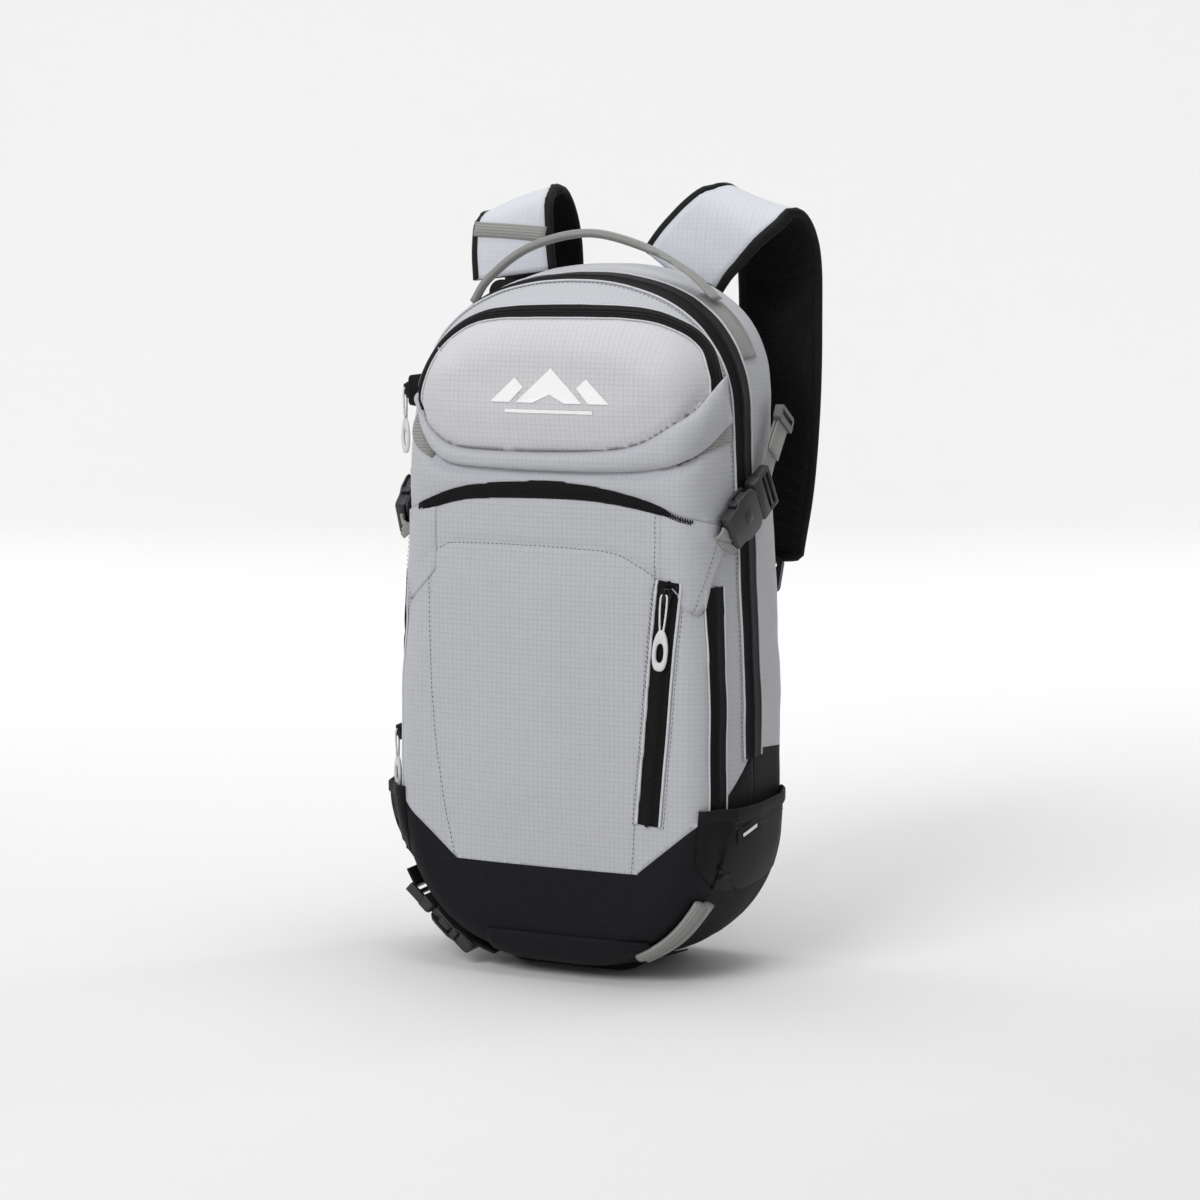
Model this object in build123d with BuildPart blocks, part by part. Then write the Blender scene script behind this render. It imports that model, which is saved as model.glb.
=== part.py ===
"""A 20 litre ski touring backpack, standing upright on its padded base.

Frame: +Z up, +Y towards the wearer's back, +X to the right of somebody who faces the pack's front.
The origin is the centre of the base pad's underside. All sizes are in millimetres.
The fabric body is three nested dishes: a back shell, a main panel and a front pocket cover. The two
covers fold down about one line across the front once their zips are open.
"""

from build123d import *
from math import cos, radians, sin
import os

os.makedirs("parts", exist_ok=True)

# Driving sizes of the bag
HALF_WIDTH = 132
BASE = 4  # underside of the shell, above the base pad's
TOP = 508
BACK = 55
FRONT = -80
MAIN_ZIP = -18  # plane where the back shell and the main panel part
POCKET_ZIP = -60  # plane where the main panel and the pocket cover part
FOLD = 82  # height of the line about which both covers fold
COVER_TOP = 352
WALL = 2.2
GAP = 0.6  # between shells that move apart
BASE_RADIUS = 110
CROWN_RADIUS = 114
RIM_RADIUS = 18

# Zips
TAPE = 1.0
TAPE_REACH = 11  # from the zip's plane to the tape's edge
POCKET_REACH = 7  # the same for the narrower pocket zip
ZIP_LOW = 134  # where the side zips end

# Webbing and buckles
WEB = 2.0
STRAP_WEB = 20
FEMALE_LENGTH = 40
MALE_LENGTH = 25
BUCKLE_WIDTH = 33
BUCKLE_DEPTH = 10
PRONG_REACH = 23

# Shoulder straps
STRAP_WIDTH = 62
STRAP_DEPTH = 11
YOKE_TOP = 474


def write(shape, name):
    """Labels a finished piece and writes its STEP file."""
    shape.label = name
    export_step(shape, f"parts/{name}.step")


def panel_outline(half_width, low, high, low_radius, high_radius):
    """Draws an upright panel with rounded corners in the open sketch."""
    with Locations((0, (low + high) / 2)):
        Rectangle(2 * half_width, high - low)
    if low_radius:
        fillet(vertices().group_by(Axis.Y)[0], low_radius)
    fillet(vertices().group_by(Axis.Y)[-1], high_radius)


def pillow(half_width, low, high, back, front, radii, rim):
    """A block with the outline of a panel, and both its rims rounded."""
    with BuildPart() as block:
        with BuildSketch(Plane.XZ.offset(-back)):
            panel_outline(half_width, low, high, *radii)
        extrude(amount=back - front)
        if rim:
            levels = edges().group_by(Axis.Y)
            fillet(levels[0] + levels[-1], rim)
    return block.part


def bag(grow=0.0, front=FRONT, top=TOP, radius=CROWN_RADIUS, rim=RIM_RADIUS):
    """The bag's outer form, grown outwards by a skin's thickness (inwards if negative)."""
    return pillow(
        HALF_WIDTH + grow,
        BASE - grow,
        top + grow,
        BACK + grow,
        front - grow,
        (BASE_RADIUS + grow, radius + grow),
        rim + grow,
    )


def room(x, y, z):
    """A block between two limits on each axis, used to keep or cut a region."""
    with BuildPart() as block:
        with Locations(((x[0] + x[1]) / 2, (y[0] + y[1]) / 2, (z[0] + z[1]) / 2)):
            Box(x[1] - x[0], y[1] - y[0], z[1] - z[0])
    return block.part


def wide(y, z):
    """A block across the whole width of the pack."""
    return room((-200, 200), y, z)


def skin(outer, inner, keep):
    """The layer between two forms, inside one region."""
    with BuildPart() as layer:
        add(outer)
        add(inner, mode=Mode.SUBTRACT)
        add(keep, mode=Mode.INTERSECT)
    return layer.part


# ---------------------------------------------------------------- fabric body

with BuildPart() as pack_shell:
    add(bag())
    add(bag(-WALL), mode=Mode.SUBTRACT)
    add(wide((FRONT - 10, MAIN_ZIP), (FOLD, TOP + 10)), mode=Mode.SUBTRACT)
write(pack_shell.part, "pack_shell")

MAIN_RIM = 8
main_room = wide((POCKET_ZIP - 5, MAIN_ZIP - GAP), (FOLD + GAP, TOP + 10))
with BuildPart() as main_panel:
    add(bag(front=POCKET_ZIP, rim=MAIN_RIM))
    add(bag(-WALL, front=POCKET_ZIP, rim=MAIN_RIM), mode=Mode.SUBTRACT)
    add(main_room, mode=Mode.INTERSECT)
write(main_panel.part, "main_panel")

COVER_RADIUS = 70
cover = {"top": COVER_TOP, "radius": COVER_RADIUS}
cover_room = wide((FRONT - 10, POCKET_ZIP - GAP), (FOLD + GAP, TOP))
write(skin(bag(**cover), bag(-WALL, **cover), cover_room), "pocket_cover")

GOGGLE_WIDTH = 108
GOGGLE_LOW, GOGGLE_HIGH = 370, 478
GOGGLE_FRONT = -74
GOGGLE_RADII = (48, 52)
GOGGLE_RIM = 8
goggle_room = wide((GOGGLE_FRONT - 10, POCKET_ZIP - 0.1), (GOGGLE_LOW - 5, GOGGLE_HIGH + 5))


def goggle_form(grow):
    """The goggle pocket's form, grown by a skin's thickness."""
    return pillow(
        GOGGLE_WIDTH + grow,
        GOGGLE_LOW - grow,
        GOGGLE_HIGH + grow,
        BACK,
        GOGGLE_FRONT - grow,
        (GOGGLE_RADII[0] + grow, GOGGLE_RADII[1] + grow),
        GOGGLE_RIM + grow,
    )


write(skin(goggle_form(0), goggle_form(-WALL), goggle_room), "goggle_pocket")
write(skin(goggle_form(-WALL - 0.2), goggle_form(-WALL - 2), goggle_room), "goggle_lining")

# Side pockets: open pouches on the bag's sides
POUCH_FRONT, POUCH_BACK = -50, 40
POUCH_LOW, POUCH_HIGH = 62, 129
POUCH_DEPTH = 13
POUCH_WALL = 1.6
POUCH_REACH = 22  # how far a pouch's floor reaches in under the bag's rounded corner


def pouch_corners(inset):
    """A pouch's outline from the side, or its room's, which runs out through the mouth."""
    mouth = POUCH_HIGH + (2 if inset else 0)
    return (
        (POUCH_FRONT + inset, POUCH_LOW + 24 + inset),
        (POUCH_FRONT + 11 + inset, POUCH_LOW + inset),
        (POUCH_BACK - inset, POUCH_LOW + 12 + inset),
        (POUCH_BACK - inset, mouth),
        (POUCH_FRONT + inset, mouth),
    )


for side, way in (("left", -1), ("right", 1)):
    with BuildPart() as side_pocket:
        with BuildSketch(Plane.YZ.offset(way * (HALF_WIDTH - POUCH_REACH))):
            with BuildLine():
                Polyline(*pouch_corners(0), close=True)
            make_face()
        extrude(amount=way * (POUCH_DEPTH + POUCH_REACH))
        with BuildSketch(Plane.YZ.offset(way * (HALF_WIDTH - POUCH_REACH - 1))):
            with BuildLine():
                Polyline(*pouch_corners(POUCH_WALL), close=True)
            make_face()
        extrude(amount=way * (POUCH_DEPTH + POUCH_REACH + 1 - POUCH_WALL), mode=Mode.SUBTRACT)
    with BuildPart() as clear_pocket:
        add(side_pocket.part)
        add(bag(0.02), mode=Mode.SUBTRACT)
    write(clear_pocket.part, f"side_pocket_{side}")

# Padded base that the pack stands on
with BuildPart() as base_pad:
    add(room((-52, 52), (-46, 40), (0, 12)))
    fillet(edges().filter_by(Axis.Z), 14)
    add(bag(0.02), mode=Mode.SUBTRACT)
write(base_pad.part, "base_pad")

# ---------------------------------------------------------------- back panel and its stiffening

PANEL_WIDTH = 88
PANEL_LOW, PANEL_HIGH = 42, 462
with BuildPart() as back_panel:
    with BuildSketch(Plane.XZ.offset(-BACK - 3.1)):
        panel_outline(PANEL_WIDTH, PANEL_LOW, PANEL_HIGH, 30, 44)
    extrude(amount=3)
write(back_panel.part, "back_panel")

PAD_ROWS = ((60, 160), (172, 300), (312, 444))
with BuildPart() as back_pads:
    with BuildSketch(Plane.XZ.offset(-BACK - 9.2)):
        for low, high in PAD_ROWS:
            with Locations((-44, (low + high) / 2), (44, (low + high) / 2)):
                RectangleRounded(72, high - low, 16)
    extrude(amount=6)
    fillet(edges().group_by(Axis.Y)[-1], 3.5)
write(back_pads.part, "back_pads")

with BuildPart() as frame_sheet:
    with BuildSketch(Plane.XZ.offset(-BACK + WALL + 0.3)):
        panel_outline(98, 60, 440, 40, 60)
    extrude(amount=1.6)
write(frame_sheet.part, "frame_sheet")

with BuildPart() as back_foam:
    with BuildSketch(Plane.XZ.offset(-BACK + WALL + 2.2)):
        panel_outline(98, 60, 440, 40, 60)
    extrude(amount=6)
write(back_foam.part, "back_foam")

# ---------------------------------------------------------------- zip tapes


def tape(y, form, keep):
    """One side's tape of a zip, lying round a form between two planes."""
    return skin(form(0.2 + TAPE), form(0.2), wide(y, keep))


def straight_bag(grow):
    """The bag's form without its rims, which the side zips lie on."""
    radii = (BASE_RADIUS + grow, CROWN_RADIUS + grow)
    return pillow(HALF_WIDTH + grow, BASE - grow, TOP + grow, BACK, FRONT, radii, 0)


def straight_cover(grow):
    """The pocket cover's form without its rims."""
    radii = (BASE_RADIUS + grow, COVER_RADIUS + grow)
    return pillow(HALF_WIDTH + grow, BASE - grow, COVER_TOP + grow, BACK, FRONT, radii, 0)


zip_span = (ZIP_LOW, TOP + 10)
write(tape((MAIN_ZIP, MAIN_ZIP + TAPE_REACH), straight_bag, zip_span), "main_zip_back_tape")
write(tape((MAIN_ZIP - TAPE_REACH, MAIN_ZIP - GAP), straight_bag, zip_span), "main_zip_front_tape")
cover_tape_span = (POCKET_ZIP - POCKET_REACH, POCKET_ZIP - GAP)
write(tape(cover_tape_span, straight_cover, zip_span), "pocket_zip_front_tape")

# The pocket zip's other tape lies on the main panel: up both sides and across under the cover's top
CRESCENT = 11
with BuildPart() as pocket_zip_back_tape:
    for way in (-1, 1):
        x = sorted((way * (HALF_WIDTH + 0.2), way * (HALF_WIDTH + 0.2 + TAPE)))
        y = (POCKET_ZIP + MAIN_RIM, POCKET_ZIP + MAIN_RIM + POCKET_REACH)
        add(room(x, y, (ZIP_LOW, COVER_TOP - 60)))
    crescent_room = wide((POCKET_ZIP - 1.2, POCKET_ZIP - 0.1), (COVER_TOP - 6, COVER_TOP + 20))
    add(skin(straight_cover(2 + CRESCENT), straight_cover(2), crescent_room))
write(pocket_zip_back_tape.part, "pocket_zip_back_tape")

goggle_zip_room = wide((GOGGLE_FRONT + GOGGLE_RIM, POCKET_ZIP - 1), (405, GOGGLE_HIGH + 5))
goggle_radii = (GOGGLE_RADII[0] + 1.2, GOGGLE_RADII[1] + 1.2)
goggle_rise = pillow(
    GOGGLE_WIDTH + 1.2, GOGGLE_LOW - 1.2, GOGGLE_HIGH + 1.2, BACK, GOGGLE_FRONT, goggle_radii, 0
)
write(skin(goggle_rise, goggle_form(0.2), goggle_zip_room), "goggle_zip_tape")

# ---------------------------------------------------------------- buckles and webbing


def buckle_female(plane):
    """Socket of a side release buckle. The male enters along the plane's +x, from its origin."""
    with BuildPart(plane) as socket:
        with Locations((FEMALE_LENGTH / 2, 0, 0)):
            Box(FEMALE_LENGTH, BUCKLE_WIDTH, BUCKLE_DEPTH)
        upright = edges().filter_by(Axis(plane.origin, plane.z_dir))
        fillet(upright.sort_by(Axis(plane.origin, plane.x_dir))[-2:], 9)
        with Locations((PRONG_REACH / 2, 0, 0)):
            Box(PRONG_REACH + 4, 26.4, 6.2, mode=Mode.SUBTRACT)
        with Locations((14, 0, 0)):
            Box(12, BUCKLE_WIDTH + 2, 6.2, mode=Mode.SUBTRACT)
        with Locations((FEMALE_LENGTH - 6, 0, 0)):
            Box(4, 23, BUCKLE_DEPTH + 2, mode=Mode.SUBTRACT)
    return socket.part


def buckle_male(plane):
    """Pronged half of a side release buckle, seated in the socket. It leaves along the plane's -x."""
    with BuildPart(plane) as plug:
        with Locations((-MALE_LENGTH / 2 - 0.4, 0, 0)):
            Box(MALE_LENGTH, BUCKLE_WIDTH, BUCKLE_DEPTH - 1)
        with Locations((-MALE_LENGTH + 5, 0, 0), (-MALE_LENGTH + 11, 0, 0)):
            Box(3.6, 23, BUCKLE_DEPTH + 2, mode=Mode.SUBTRACT)
        with Locations((PRONG_REACH / 2 - 1, -10.8, 0), (PRONG_REACH / 2 - 1, 10.8, 0)):
            Box(PRONG_REACH, 3.6, 5)
        with Locations((PRONG_REACH / 3 - 1, 0, 0)):
            Box(PRONG_REACH * 2 / 3, 5, 5)
    return plug.part


def band(plane, start, end, width, depth=WEB):
    """Flat webbing between two points of a plane, standing on it."""
    run = Vector(*end) - Vector(*start)
    angle = Vector(1, 0).get_signed_angle(run, Vector(0, 0, 1))
    with BuildPart() as strip:
        with BuildSketch(plane):
            with Locations(Location((*((Vector(*start) + Vector(*end)) / 2),), angle)):
                Rectangle(run.length, width)
        extrude(amount=depth)
    return strip.part


# Compression straps: a ring at the back edge, webbing, buckle, and the pocket cover's wing
SIDE_GAP = 5.2  # from the bag's side to the buckles, which swing past a zip's pull
MATE = Vector(0, -16, 342)  # where the buckle's halves meet, in the side's plane
STRAP_TILT = 29
tilt = Vector(0, -cos(radians(STRAP_TILT)), -sin(radians(STRAP_TILT)))
male_end = MATE - tilt * (MALE_LENGTH + 6)
female_end = MATE + tilt * (FEMALE_LENGTH + 3)
RING = Vector(0, 30, 396)
WING_ROOT = -72
anchors, wing_webs = [], []
for side, way in (("left", -1), ("right", 1)):
    x_mid = way * (HALF_WIDTH + SIDE_GAP + BUCKLE_DEPTH / 2)
    seat = Plane(origin=(x_mid, MATE.Y, MATE.Z), x_dir=tilt, z_dir=(way, 0, 0))
    write(buckle_female(seat), f"compression_female_{side}")
    write(buckle_male(seat), f"compression_male_{side}")
    web_level = HALF_WIDTH + SIDE_GAP + 1 if way > 0 else -(HALF_WIDTH + SIDE_GAP + 1 + WEB)
    web_plane = Plane.YZ.offset(web_level)
    web_top = (RING.Y + 2, RING.Z + 1)
    write(
        band(web_plane, (male_end.Y, male_end.Z), web_top, STRAP_WEB),
        f"compression_web_{side}",
    )
    wing_webs.append(
        band(web_plane, (female_end.Y, female_end.Z), (WING_ROOT + 5, female_end.Z - 9), STRAP_WEB)
    )
    with BuildPart() as ring:
        with BuildSketch(Plane.YZ.offset(way * (HALF_WIDTH + 0.1))):
            with Locations(Location((RING.Y, RING.Z), 60)):
                RectangleRounded(12, 27, 3)
                with Locations((1, 0)):
                    Rectangle(4, 21, mode=Mode.SUBTRACT)
        extrude(amount=way * (SIDE_GAP + 0.4))
    anchors.append(ring.part)

    with BuildPart() as wing:
        with BuildSketch(Plane.YZ.offset(way * (HALF_WIDTH + 1.5))):
            with BuildLine():
                Polyline(
                    (WING_ROOT, 258), (-55, 292), (-48, 314), (-54, 334), (WING_ROOT, 332), close=True
                )
            make_face()
        extrude(amount=way * 3.4)
        with Locations((way * HALF_WIDTH, WING_ROOT + 2.2, 295)):
            Box(5, 4.4, 66)
        add(bag(0.02, **cover), mode=Mode.SUBTRACT)
    write(wing.part, f"cover_wing_{side}")

with BuildPart() as compression_rings:
    add(anchors)
write(compression_rings.part, "compression_rings")
with BuildPart() as wing_webbing:
    add(wing_webs)
write(wing_webbing.part, "wing_webbing")

# Lower strap: a webbing loop round the base's front corner, through a sleeve, to a buckle
CORNER = HALF_WIDTH - BASE_RADIUS  # x of the base corner's centre
CORNER_Z = BASE + BASE_RADIUS
LOWER_FRONT, LOWER_BACK = -77, -53
SLEEVE = (-46, 76)
sleeve_room = room(SLEEVE, (FRONT - 10, -56), (0, 34))
write(skin(bag(3.4), bag(0.4), sleeve_room), "lower_sleeve")


def corner_band(start_angle, end_angle, way, lift=1.0):
    """Webbing that lies round one of the base's corners, between two angles below the horizontal."""
    low, high = BASE_RADIUS + lift, BASE_RADIUS + lift + WEB + 0.4
    with BuildPart() as strip:
        with BuildSketch(Plane.XZ.offset(-LOWER_BACK)):
            with BuildLine():
                ends = []
                for radius in (low, high):
                    points = [
                        (way * (CORNER + radius * cos(radians(a))), CORNER_Z - radius * sin(radians(a)))
                        for a in (start_angle, (start_angle + end_angle) / 2, end_angle)
                    ]
                    ThreePointArc(*points)
                    ends.append(points)
                Line(ends[0][0], ends[1][0])
                Line(ends[0][-1], ends[1][-1])
            make_face()
        extrude(amount=LOWER_BACK - LOWER_FRONT)
    return strip.part


write(corner_band(30, 59.5, 1), "lower_web_right")
BUCKLE_ANGLE = 48
reach = BASE_RADIUS + 1.2 + BUCKLE_DEPTH / 2
low_origin = Vector(
    -(CORNER + reach * cos(radians(BUCKLE_ANGLE))),
    (LOWER_FRONT + LOWER_BACK) / 2,
    CORNER_Z - reach * sin(radians(BUCKLE_ANGLE)),
)
low_run = Vector(sin(radians(BUCKLE_ANGLE)), 0, -cos(radians(BUCKLE_ANGLE)))
outwards = Vector(-cos(radians(BUCKLE_ANGLE)), 0, -sin(radians(BUCKLE_ANGLE)))
low_seat = Plane(origin=low_origin - low_run * 9, x_dir=low_run, z_dir=outwards)
write(buckle_female(low_seat), "lower_female")
write(buckle_male(low_seat), "lower_male")
write(corner_band(25, 31, -1, 3.5), "lower_web_left")
write(corner_band(64.5, 73, -1, 2.0), "lower_web_inner")

# ---------------------------------------------------------------- haul handle

HANDLE_Y = 4
HANDLE_HALF = 97
HANDLE_END_Z = 484
HANDLE_RISE = 44
with BuildPart() as handle:
    with BuildLine() as grip_path:
        ThreePointArc(
            (-HANDLE_HALF, HANDLE_Y, HANDLE_END_Z),
            (0, HANDLE_Y, HANDLE_END_Z + HANDLE_RISE),
            (HANDLE_HALF, HANDLE_Y, HANDLE_END_Z),
        )
    with BuildSketch(Plane(grip_path.line @ 0, x_dir=(0, 1, 0), z_dir=grip_path.line % 0)):
        RectangleRounded(14, 6, 2.5)
    sweep()
write(handle.part, "haul_handle")

with BuildPart() as handle_patches:
    patch_room = room((-200, 200), (HANDLE_Y - 8, HANDLE_Y + 12), (430, 478))
    add(skin(straight_bag(2.2), straight_bag(0.2), patch_room))
write(handle_patches.part, "handle_patches")

# ---------------------------------------------------------------- shoulder harness

STRAP_ROOTS = {
    "left": ((-92, 63, 494), (-95, 66, 518), (-97, 75, 541), (-97, 98, 546)),
    "right": ((40, 63, 494), (56, 66, 516), (78, 75, 538), (92, 98, 545)),
}
STRAP_RUN = ((96, 118, 516), (96, 125, 460), (96, 125, 400), (95, 118, 340), (93, 104, 292))
STRAP_END = Vector(*STRAP_RUN[-1])
SECTIONS = 22


def strap_solid(side, way):
    """A padded shoulder strap that arches from the yoke, over the shoulder and down."""
    run = tuple((way * x, y, z) for x, y, z in STRAP_RUN)
    with BuildPart() as padded:
        with BuildLine(mode=Mode.PRIVATE) as centre:
            Spline(*STRAP_ROOTS[side], *run)
        for i in range(SECTIONS + 1):
            place = i / SECTIONS
            along = centre.line % place
            with BuildSketch(Plane(centre.line @ place, x_dir=(1, 0, 0), z_dir=along)):
                RectangleRounded(STRAP_WIDTH - 8 * place, STRAP_DEPTH, 4)
        loft(ruled=True)
    return padded.part


for side, way in (("left", -1), ("right", 1)):
    write(strap_solid(side, way), f"shoulder_strap_{side}")

with BuildPart() as shoulder_yoke:
    for x in (-80, 44):
        with Locations((x, BACK + 6.2, (PANEL_HIGH + YOKE_TOP) / 2 + 3)):
            Box(STRAP_WIDTH - 6, 10, YOKE_TOP - PANEL_HIGH - 6)
    fillet(edges().filter_by(Axis.Z), 3)
    add(bag(0.05), mode=Mode.SUBTRACT)
write(shoulder_yoke.part, "shoulder_yoke")

# Ladder locks under the straps' ends, and the webbing down to the base's corners
LOCK_TILT = 24
lock_run = Vector(0, -sin(radians(LOCK_TILT)), -cos(radians(LOCK_TILT)))
lock_face = Vector(0, cos(radians(LOCK_TILT)), -sin(radians(LOCK_TILT)))
LOCK_LENGTH = 26
WEB_FOOT = Vector(101, 60, 78)
locks, feet = [], []
for side, way in (("left", -1), ("right", 1)):
    top_end = Vector(way * STRAP_END.X, STRAP_END.Y, STRAP_END.Z) + lock_run * 5
    lock_plane = Plane(origin=top_end + lock_run * (LOCK_LENGTH / 2), x_dir=(1, 0, 0), z_dir=lock_face)
    with BuildPart(lock_plane) as lock:
        with BuildSketch(lock_plane):
            RectangleRounded(32, LOCK_LENGTH, 4)
            with Locations((0, 7), (0, 0), (0, -7)):
                Rectangle(24, 3.6, mode=Mode.SUBTRACT)
        extrude(amount=2.4, both=True)
    locks.append(lock.part)
    foot = Vector(way * WEB_FOOT.X, WEB_FOOT.Y, WEB_FOOT.Z)
    head = top_end + lock_run * (LOCK_LENGTH + 1.5)
    run = foot - head
    strap_plane = Plane(origin=(foot + head) / 2, x_dir=(1, 0, 0), z_dir=Vector(1, 0, 0).cross(run))
    with BuildPart() as adjuster:
        with BuildSketch(strap_plane):
            Rectangle(STRAP_WEB, run.length)
        extrude(amount=0.9, both=True)
    write(adjuster.part, f"adjuster_web_{side}")
    with BuildPart() as tab:
        with BuildSketch(Plane.XZ.offset(-BACK - 2.6)):
            with Locations((foot.X + way * 0.5, foot.Z - 14)):
                Trapezoid(26, 20, 80)
        extrude(amount=2.4)
    feet.append(tab.part)
with BuildPart() as ladder_locks:
    add(locks)
write(ladder_locks.part, "ladder_locks")
with BuildPart() as foot_tabs:
    add(feet)
write(foot_tabs.part, "foot_tabs")

# Sternum strap, clipped, between the two shoulder straps
STERNUM = Vector(0, 138.4, 430)
with BuildPart() as sternum_clips:
    with Locations((-98, STERNUM.Y - 3.5, STERNUM.Z), (98, STERNUM.Y - 3.5, STERNUM.Z)):
        Box(16, 4, 26)
    fillet(edges().filter_by(Axis.Y), 3)
write(sternum_clips.part, "sternum_clips")
sternum_seat = Plane(origin=STERNUM, x_dir=(-1, 0, 0), z_dir=(0, 1, 0))
write(buckle_female(sternum_seat), "sternum_female")
write(buckle_male(sternum_seat), "sternum_male")
web_face = Plane.XZ.offset(-STERNUM.Y - WEB / 2)
left_web = band(web_face, (-104, STERNUM.Z), (-FEMALE_LENGTH - 0.6, STERNUM.Z), STRAP_WEB)
write(left_web, "sternum_web_left")
right_web = band(web_face, (MALE_LENGTH + 1, STERNUM.Z), (104, STERNUM.Z), STRAP_WEB)
write(right_web, "sternum_web_right")

# ---------------------------------------------------------------- zip sliders and their pulls

SLIDER_LENGTH, SLIDER_WIDTH, SLIDER_DEPTH = 13, 9, 3.4
PIN_OUT = 5.2  # from the tape to the pull's pin


def slider(plane):
    """A zip slider: its body on the tape, and the bridge that holds the pull. +y runs up the zip."""
    with BuildPart(plane) as piece:
        with Locations((0, 0, 0.3 + SLIDER_DEPTH / 2)):
            Box(SLIDER_WIDTH, SLIDER_LENGTH, SLIDER_DEPTH)
        fillet(edges().filter_by(Axis(plane.origin, plane.z_dir)), 2)
        with Locations((0, 1, 0.3 + SLIDER_DEPTH + 1.4)):
            Box(2.4, 9, 2.8)
        with Locations((0, 0, PIN_OUT)):
            Box(3, 3.6, 1.8, mode=Mode.SUBTRACT)
    return piece.part


def pull(plane, length, width):
    """A pull that hangs from a slider's bridge: a loop, and a flat tab."""
    tab = length * 0.55
    with BuildPart(plane) as piece:
        with Locations((0, 0, PIN_OUT)):
            Box(7.5, 1.2, 1.0)
        for way in (-1, 1):
            with Locations((way * 3.2, -(length - tab) / 2, PIN_OUT)):
                Box(1.1, length - tab, 1.2)
        with BuildSketch(plane.offset(PIN_OUT - 0.9)):
            with Locations((0, -length + tab / 2)):
                RectangleRounded(width, tab, width * 0.4)
                with Locations((0, tab * 0.1)):
                    SlotCenterToCenter(tab * 0.16, width * 0.34, rotation=90, mode=Mode.SUBTRACT)
        extrude(amount=1.8)
    return piece.part


# The front pocket's short zip, a little off the vertical
CHEST_TILT = 4.6
CHEST_TOP = Vector(93, FRONT, 290)
chest_run = Vector(-sin(radians(CHEST_TILT)), 0, -cos(radians(CHEST_TILT)))
CHEST_LENGTH = 172
chest_mid = CHEST_TOP + chest_run * (CHEST_LENGTH / 2)
chest_across = (cos(radians(CHEST_TILT)), 0, -sin(radians(CHEST_TILT)))
chest_plane = Plane(origin=chest_mid, x_dir=chest_across, z_dir=(0, -1, 0))
with BuildPart() as chest_zip_tape:
    with BuildSketch(chest_plane.offset(0.1)):
        RectangleRounded(16, CHEST_LENGTH, 3)
    extrude(amount=1.1)
write(chest_zip_tape.part, "chest_zip_tape")

left_side = -HALF_WIDTH - 0.2 - TAPE
SIDE_SLIDERS = (
    # name, then the slider's place, then its pull's length and width
    ("goggle", (-HALF_WIDTH + 0.8, -42, 414), 46, 9),
    ("main_upper", (left_side, MAIN_ZIP, 190), 22, 6),
    ("main_lower", (left_side, MAIN_ZIP, 158), 22, 6),
    ("pocket", (left_side, POCKET_ZIP + 5.2, 166), 34, 8),
)
chest_place = chest_plane.from_local_coords((0, CHEST_LENGTH / 2 - 10, 1.2))
chest_seat = Plane(origin=chest_place, x_dir=chest_plane.x_dir, z_dir=chest_plane.z_dir)
SLIDERS = [("chest", chest_seat, 56, 11)]
for name, place, length, width in SIDE_SLIDERS:
    SLIDERS.append((name, Plane(origin=place, x_dir=(0, -1, 0), z_dir=(-1, 0, 0)), length, width))
for name, seat, length, width in SLIDERS:
    write(slider(seat), f"{name}_slider")
    write(pull(seat, length, width), f"{name}_pull")

# Plain raised mark on the goggle pocket, and a blank tag on the right side pocket
with BuildPart() as badge:
    with BuildSketch(Plane.XZ.offset(-GOGGLE_FRONT + 0.1)):
        with Locations((3, 420)):
            Triangle(a=44, B=32, C=32)
        with Locations((30, 417), (-24, 417)):
            Triangle(a=30, B=32, C=32)
        with Locations((3, 408)):
            Rectangle(112, 2.4)
    extrude(amount=0.5)
write(badge.part, "badge")

with BuildPart() as tag:
    with BuildSketch(Plane.YZ.offset(HALF_WIDTH + POUCH_DEPTH + 0.05)):
        with Locations(Location((-42, 112), 8)):
            Rectangle(30, 11)
    extrude(amount=0.7)
write(tag.part, "side_tag")
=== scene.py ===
"""Looks of the ski touring backpack: cloth, zips, webbing, straps and buckles round the CAD part.

Sizes are in millimetres until a mesh is made. +Z is up, +Y points towards the wearer's back and +X
to the right of somebody who faces the pack's front, as in the CAD part.
"""

import math

import bmesh
import bpy
import numpy as np
from mathutils import Matrix, Vector, noise
from mathutils.bvhtree import BVHTree


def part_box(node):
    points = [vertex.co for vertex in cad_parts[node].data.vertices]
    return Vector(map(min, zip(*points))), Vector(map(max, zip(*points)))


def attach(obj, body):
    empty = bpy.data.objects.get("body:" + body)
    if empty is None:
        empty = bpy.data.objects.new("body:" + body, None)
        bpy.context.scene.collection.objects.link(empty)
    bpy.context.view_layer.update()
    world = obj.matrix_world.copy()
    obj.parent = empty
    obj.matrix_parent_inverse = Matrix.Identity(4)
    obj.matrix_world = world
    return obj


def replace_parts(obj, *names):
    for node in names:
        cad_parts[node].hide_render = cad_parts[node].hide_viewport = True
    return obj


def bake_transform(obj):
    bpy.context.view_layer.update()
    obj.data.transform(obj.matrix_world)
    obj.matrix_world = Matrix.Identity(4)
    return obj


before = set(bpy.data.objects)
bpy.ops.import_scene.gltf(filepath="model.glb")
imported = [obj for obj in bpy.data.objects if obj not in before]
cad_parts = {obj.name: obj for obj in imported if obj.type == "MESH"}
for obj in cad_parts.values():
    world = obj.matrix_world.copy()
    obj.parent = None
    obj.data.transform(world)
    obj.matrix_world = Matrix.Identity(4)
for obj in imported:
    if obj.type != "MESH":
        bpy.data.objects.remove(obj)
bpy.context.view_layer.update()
MM = 0.001

# ------------------------------------------------------------------ driving sizes, from the frame


def node_box(node):
    """A CAD node's lowest and highest corners, in millimetres."""
    low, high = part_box(node)
    return low / MM, high / MM


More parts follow.
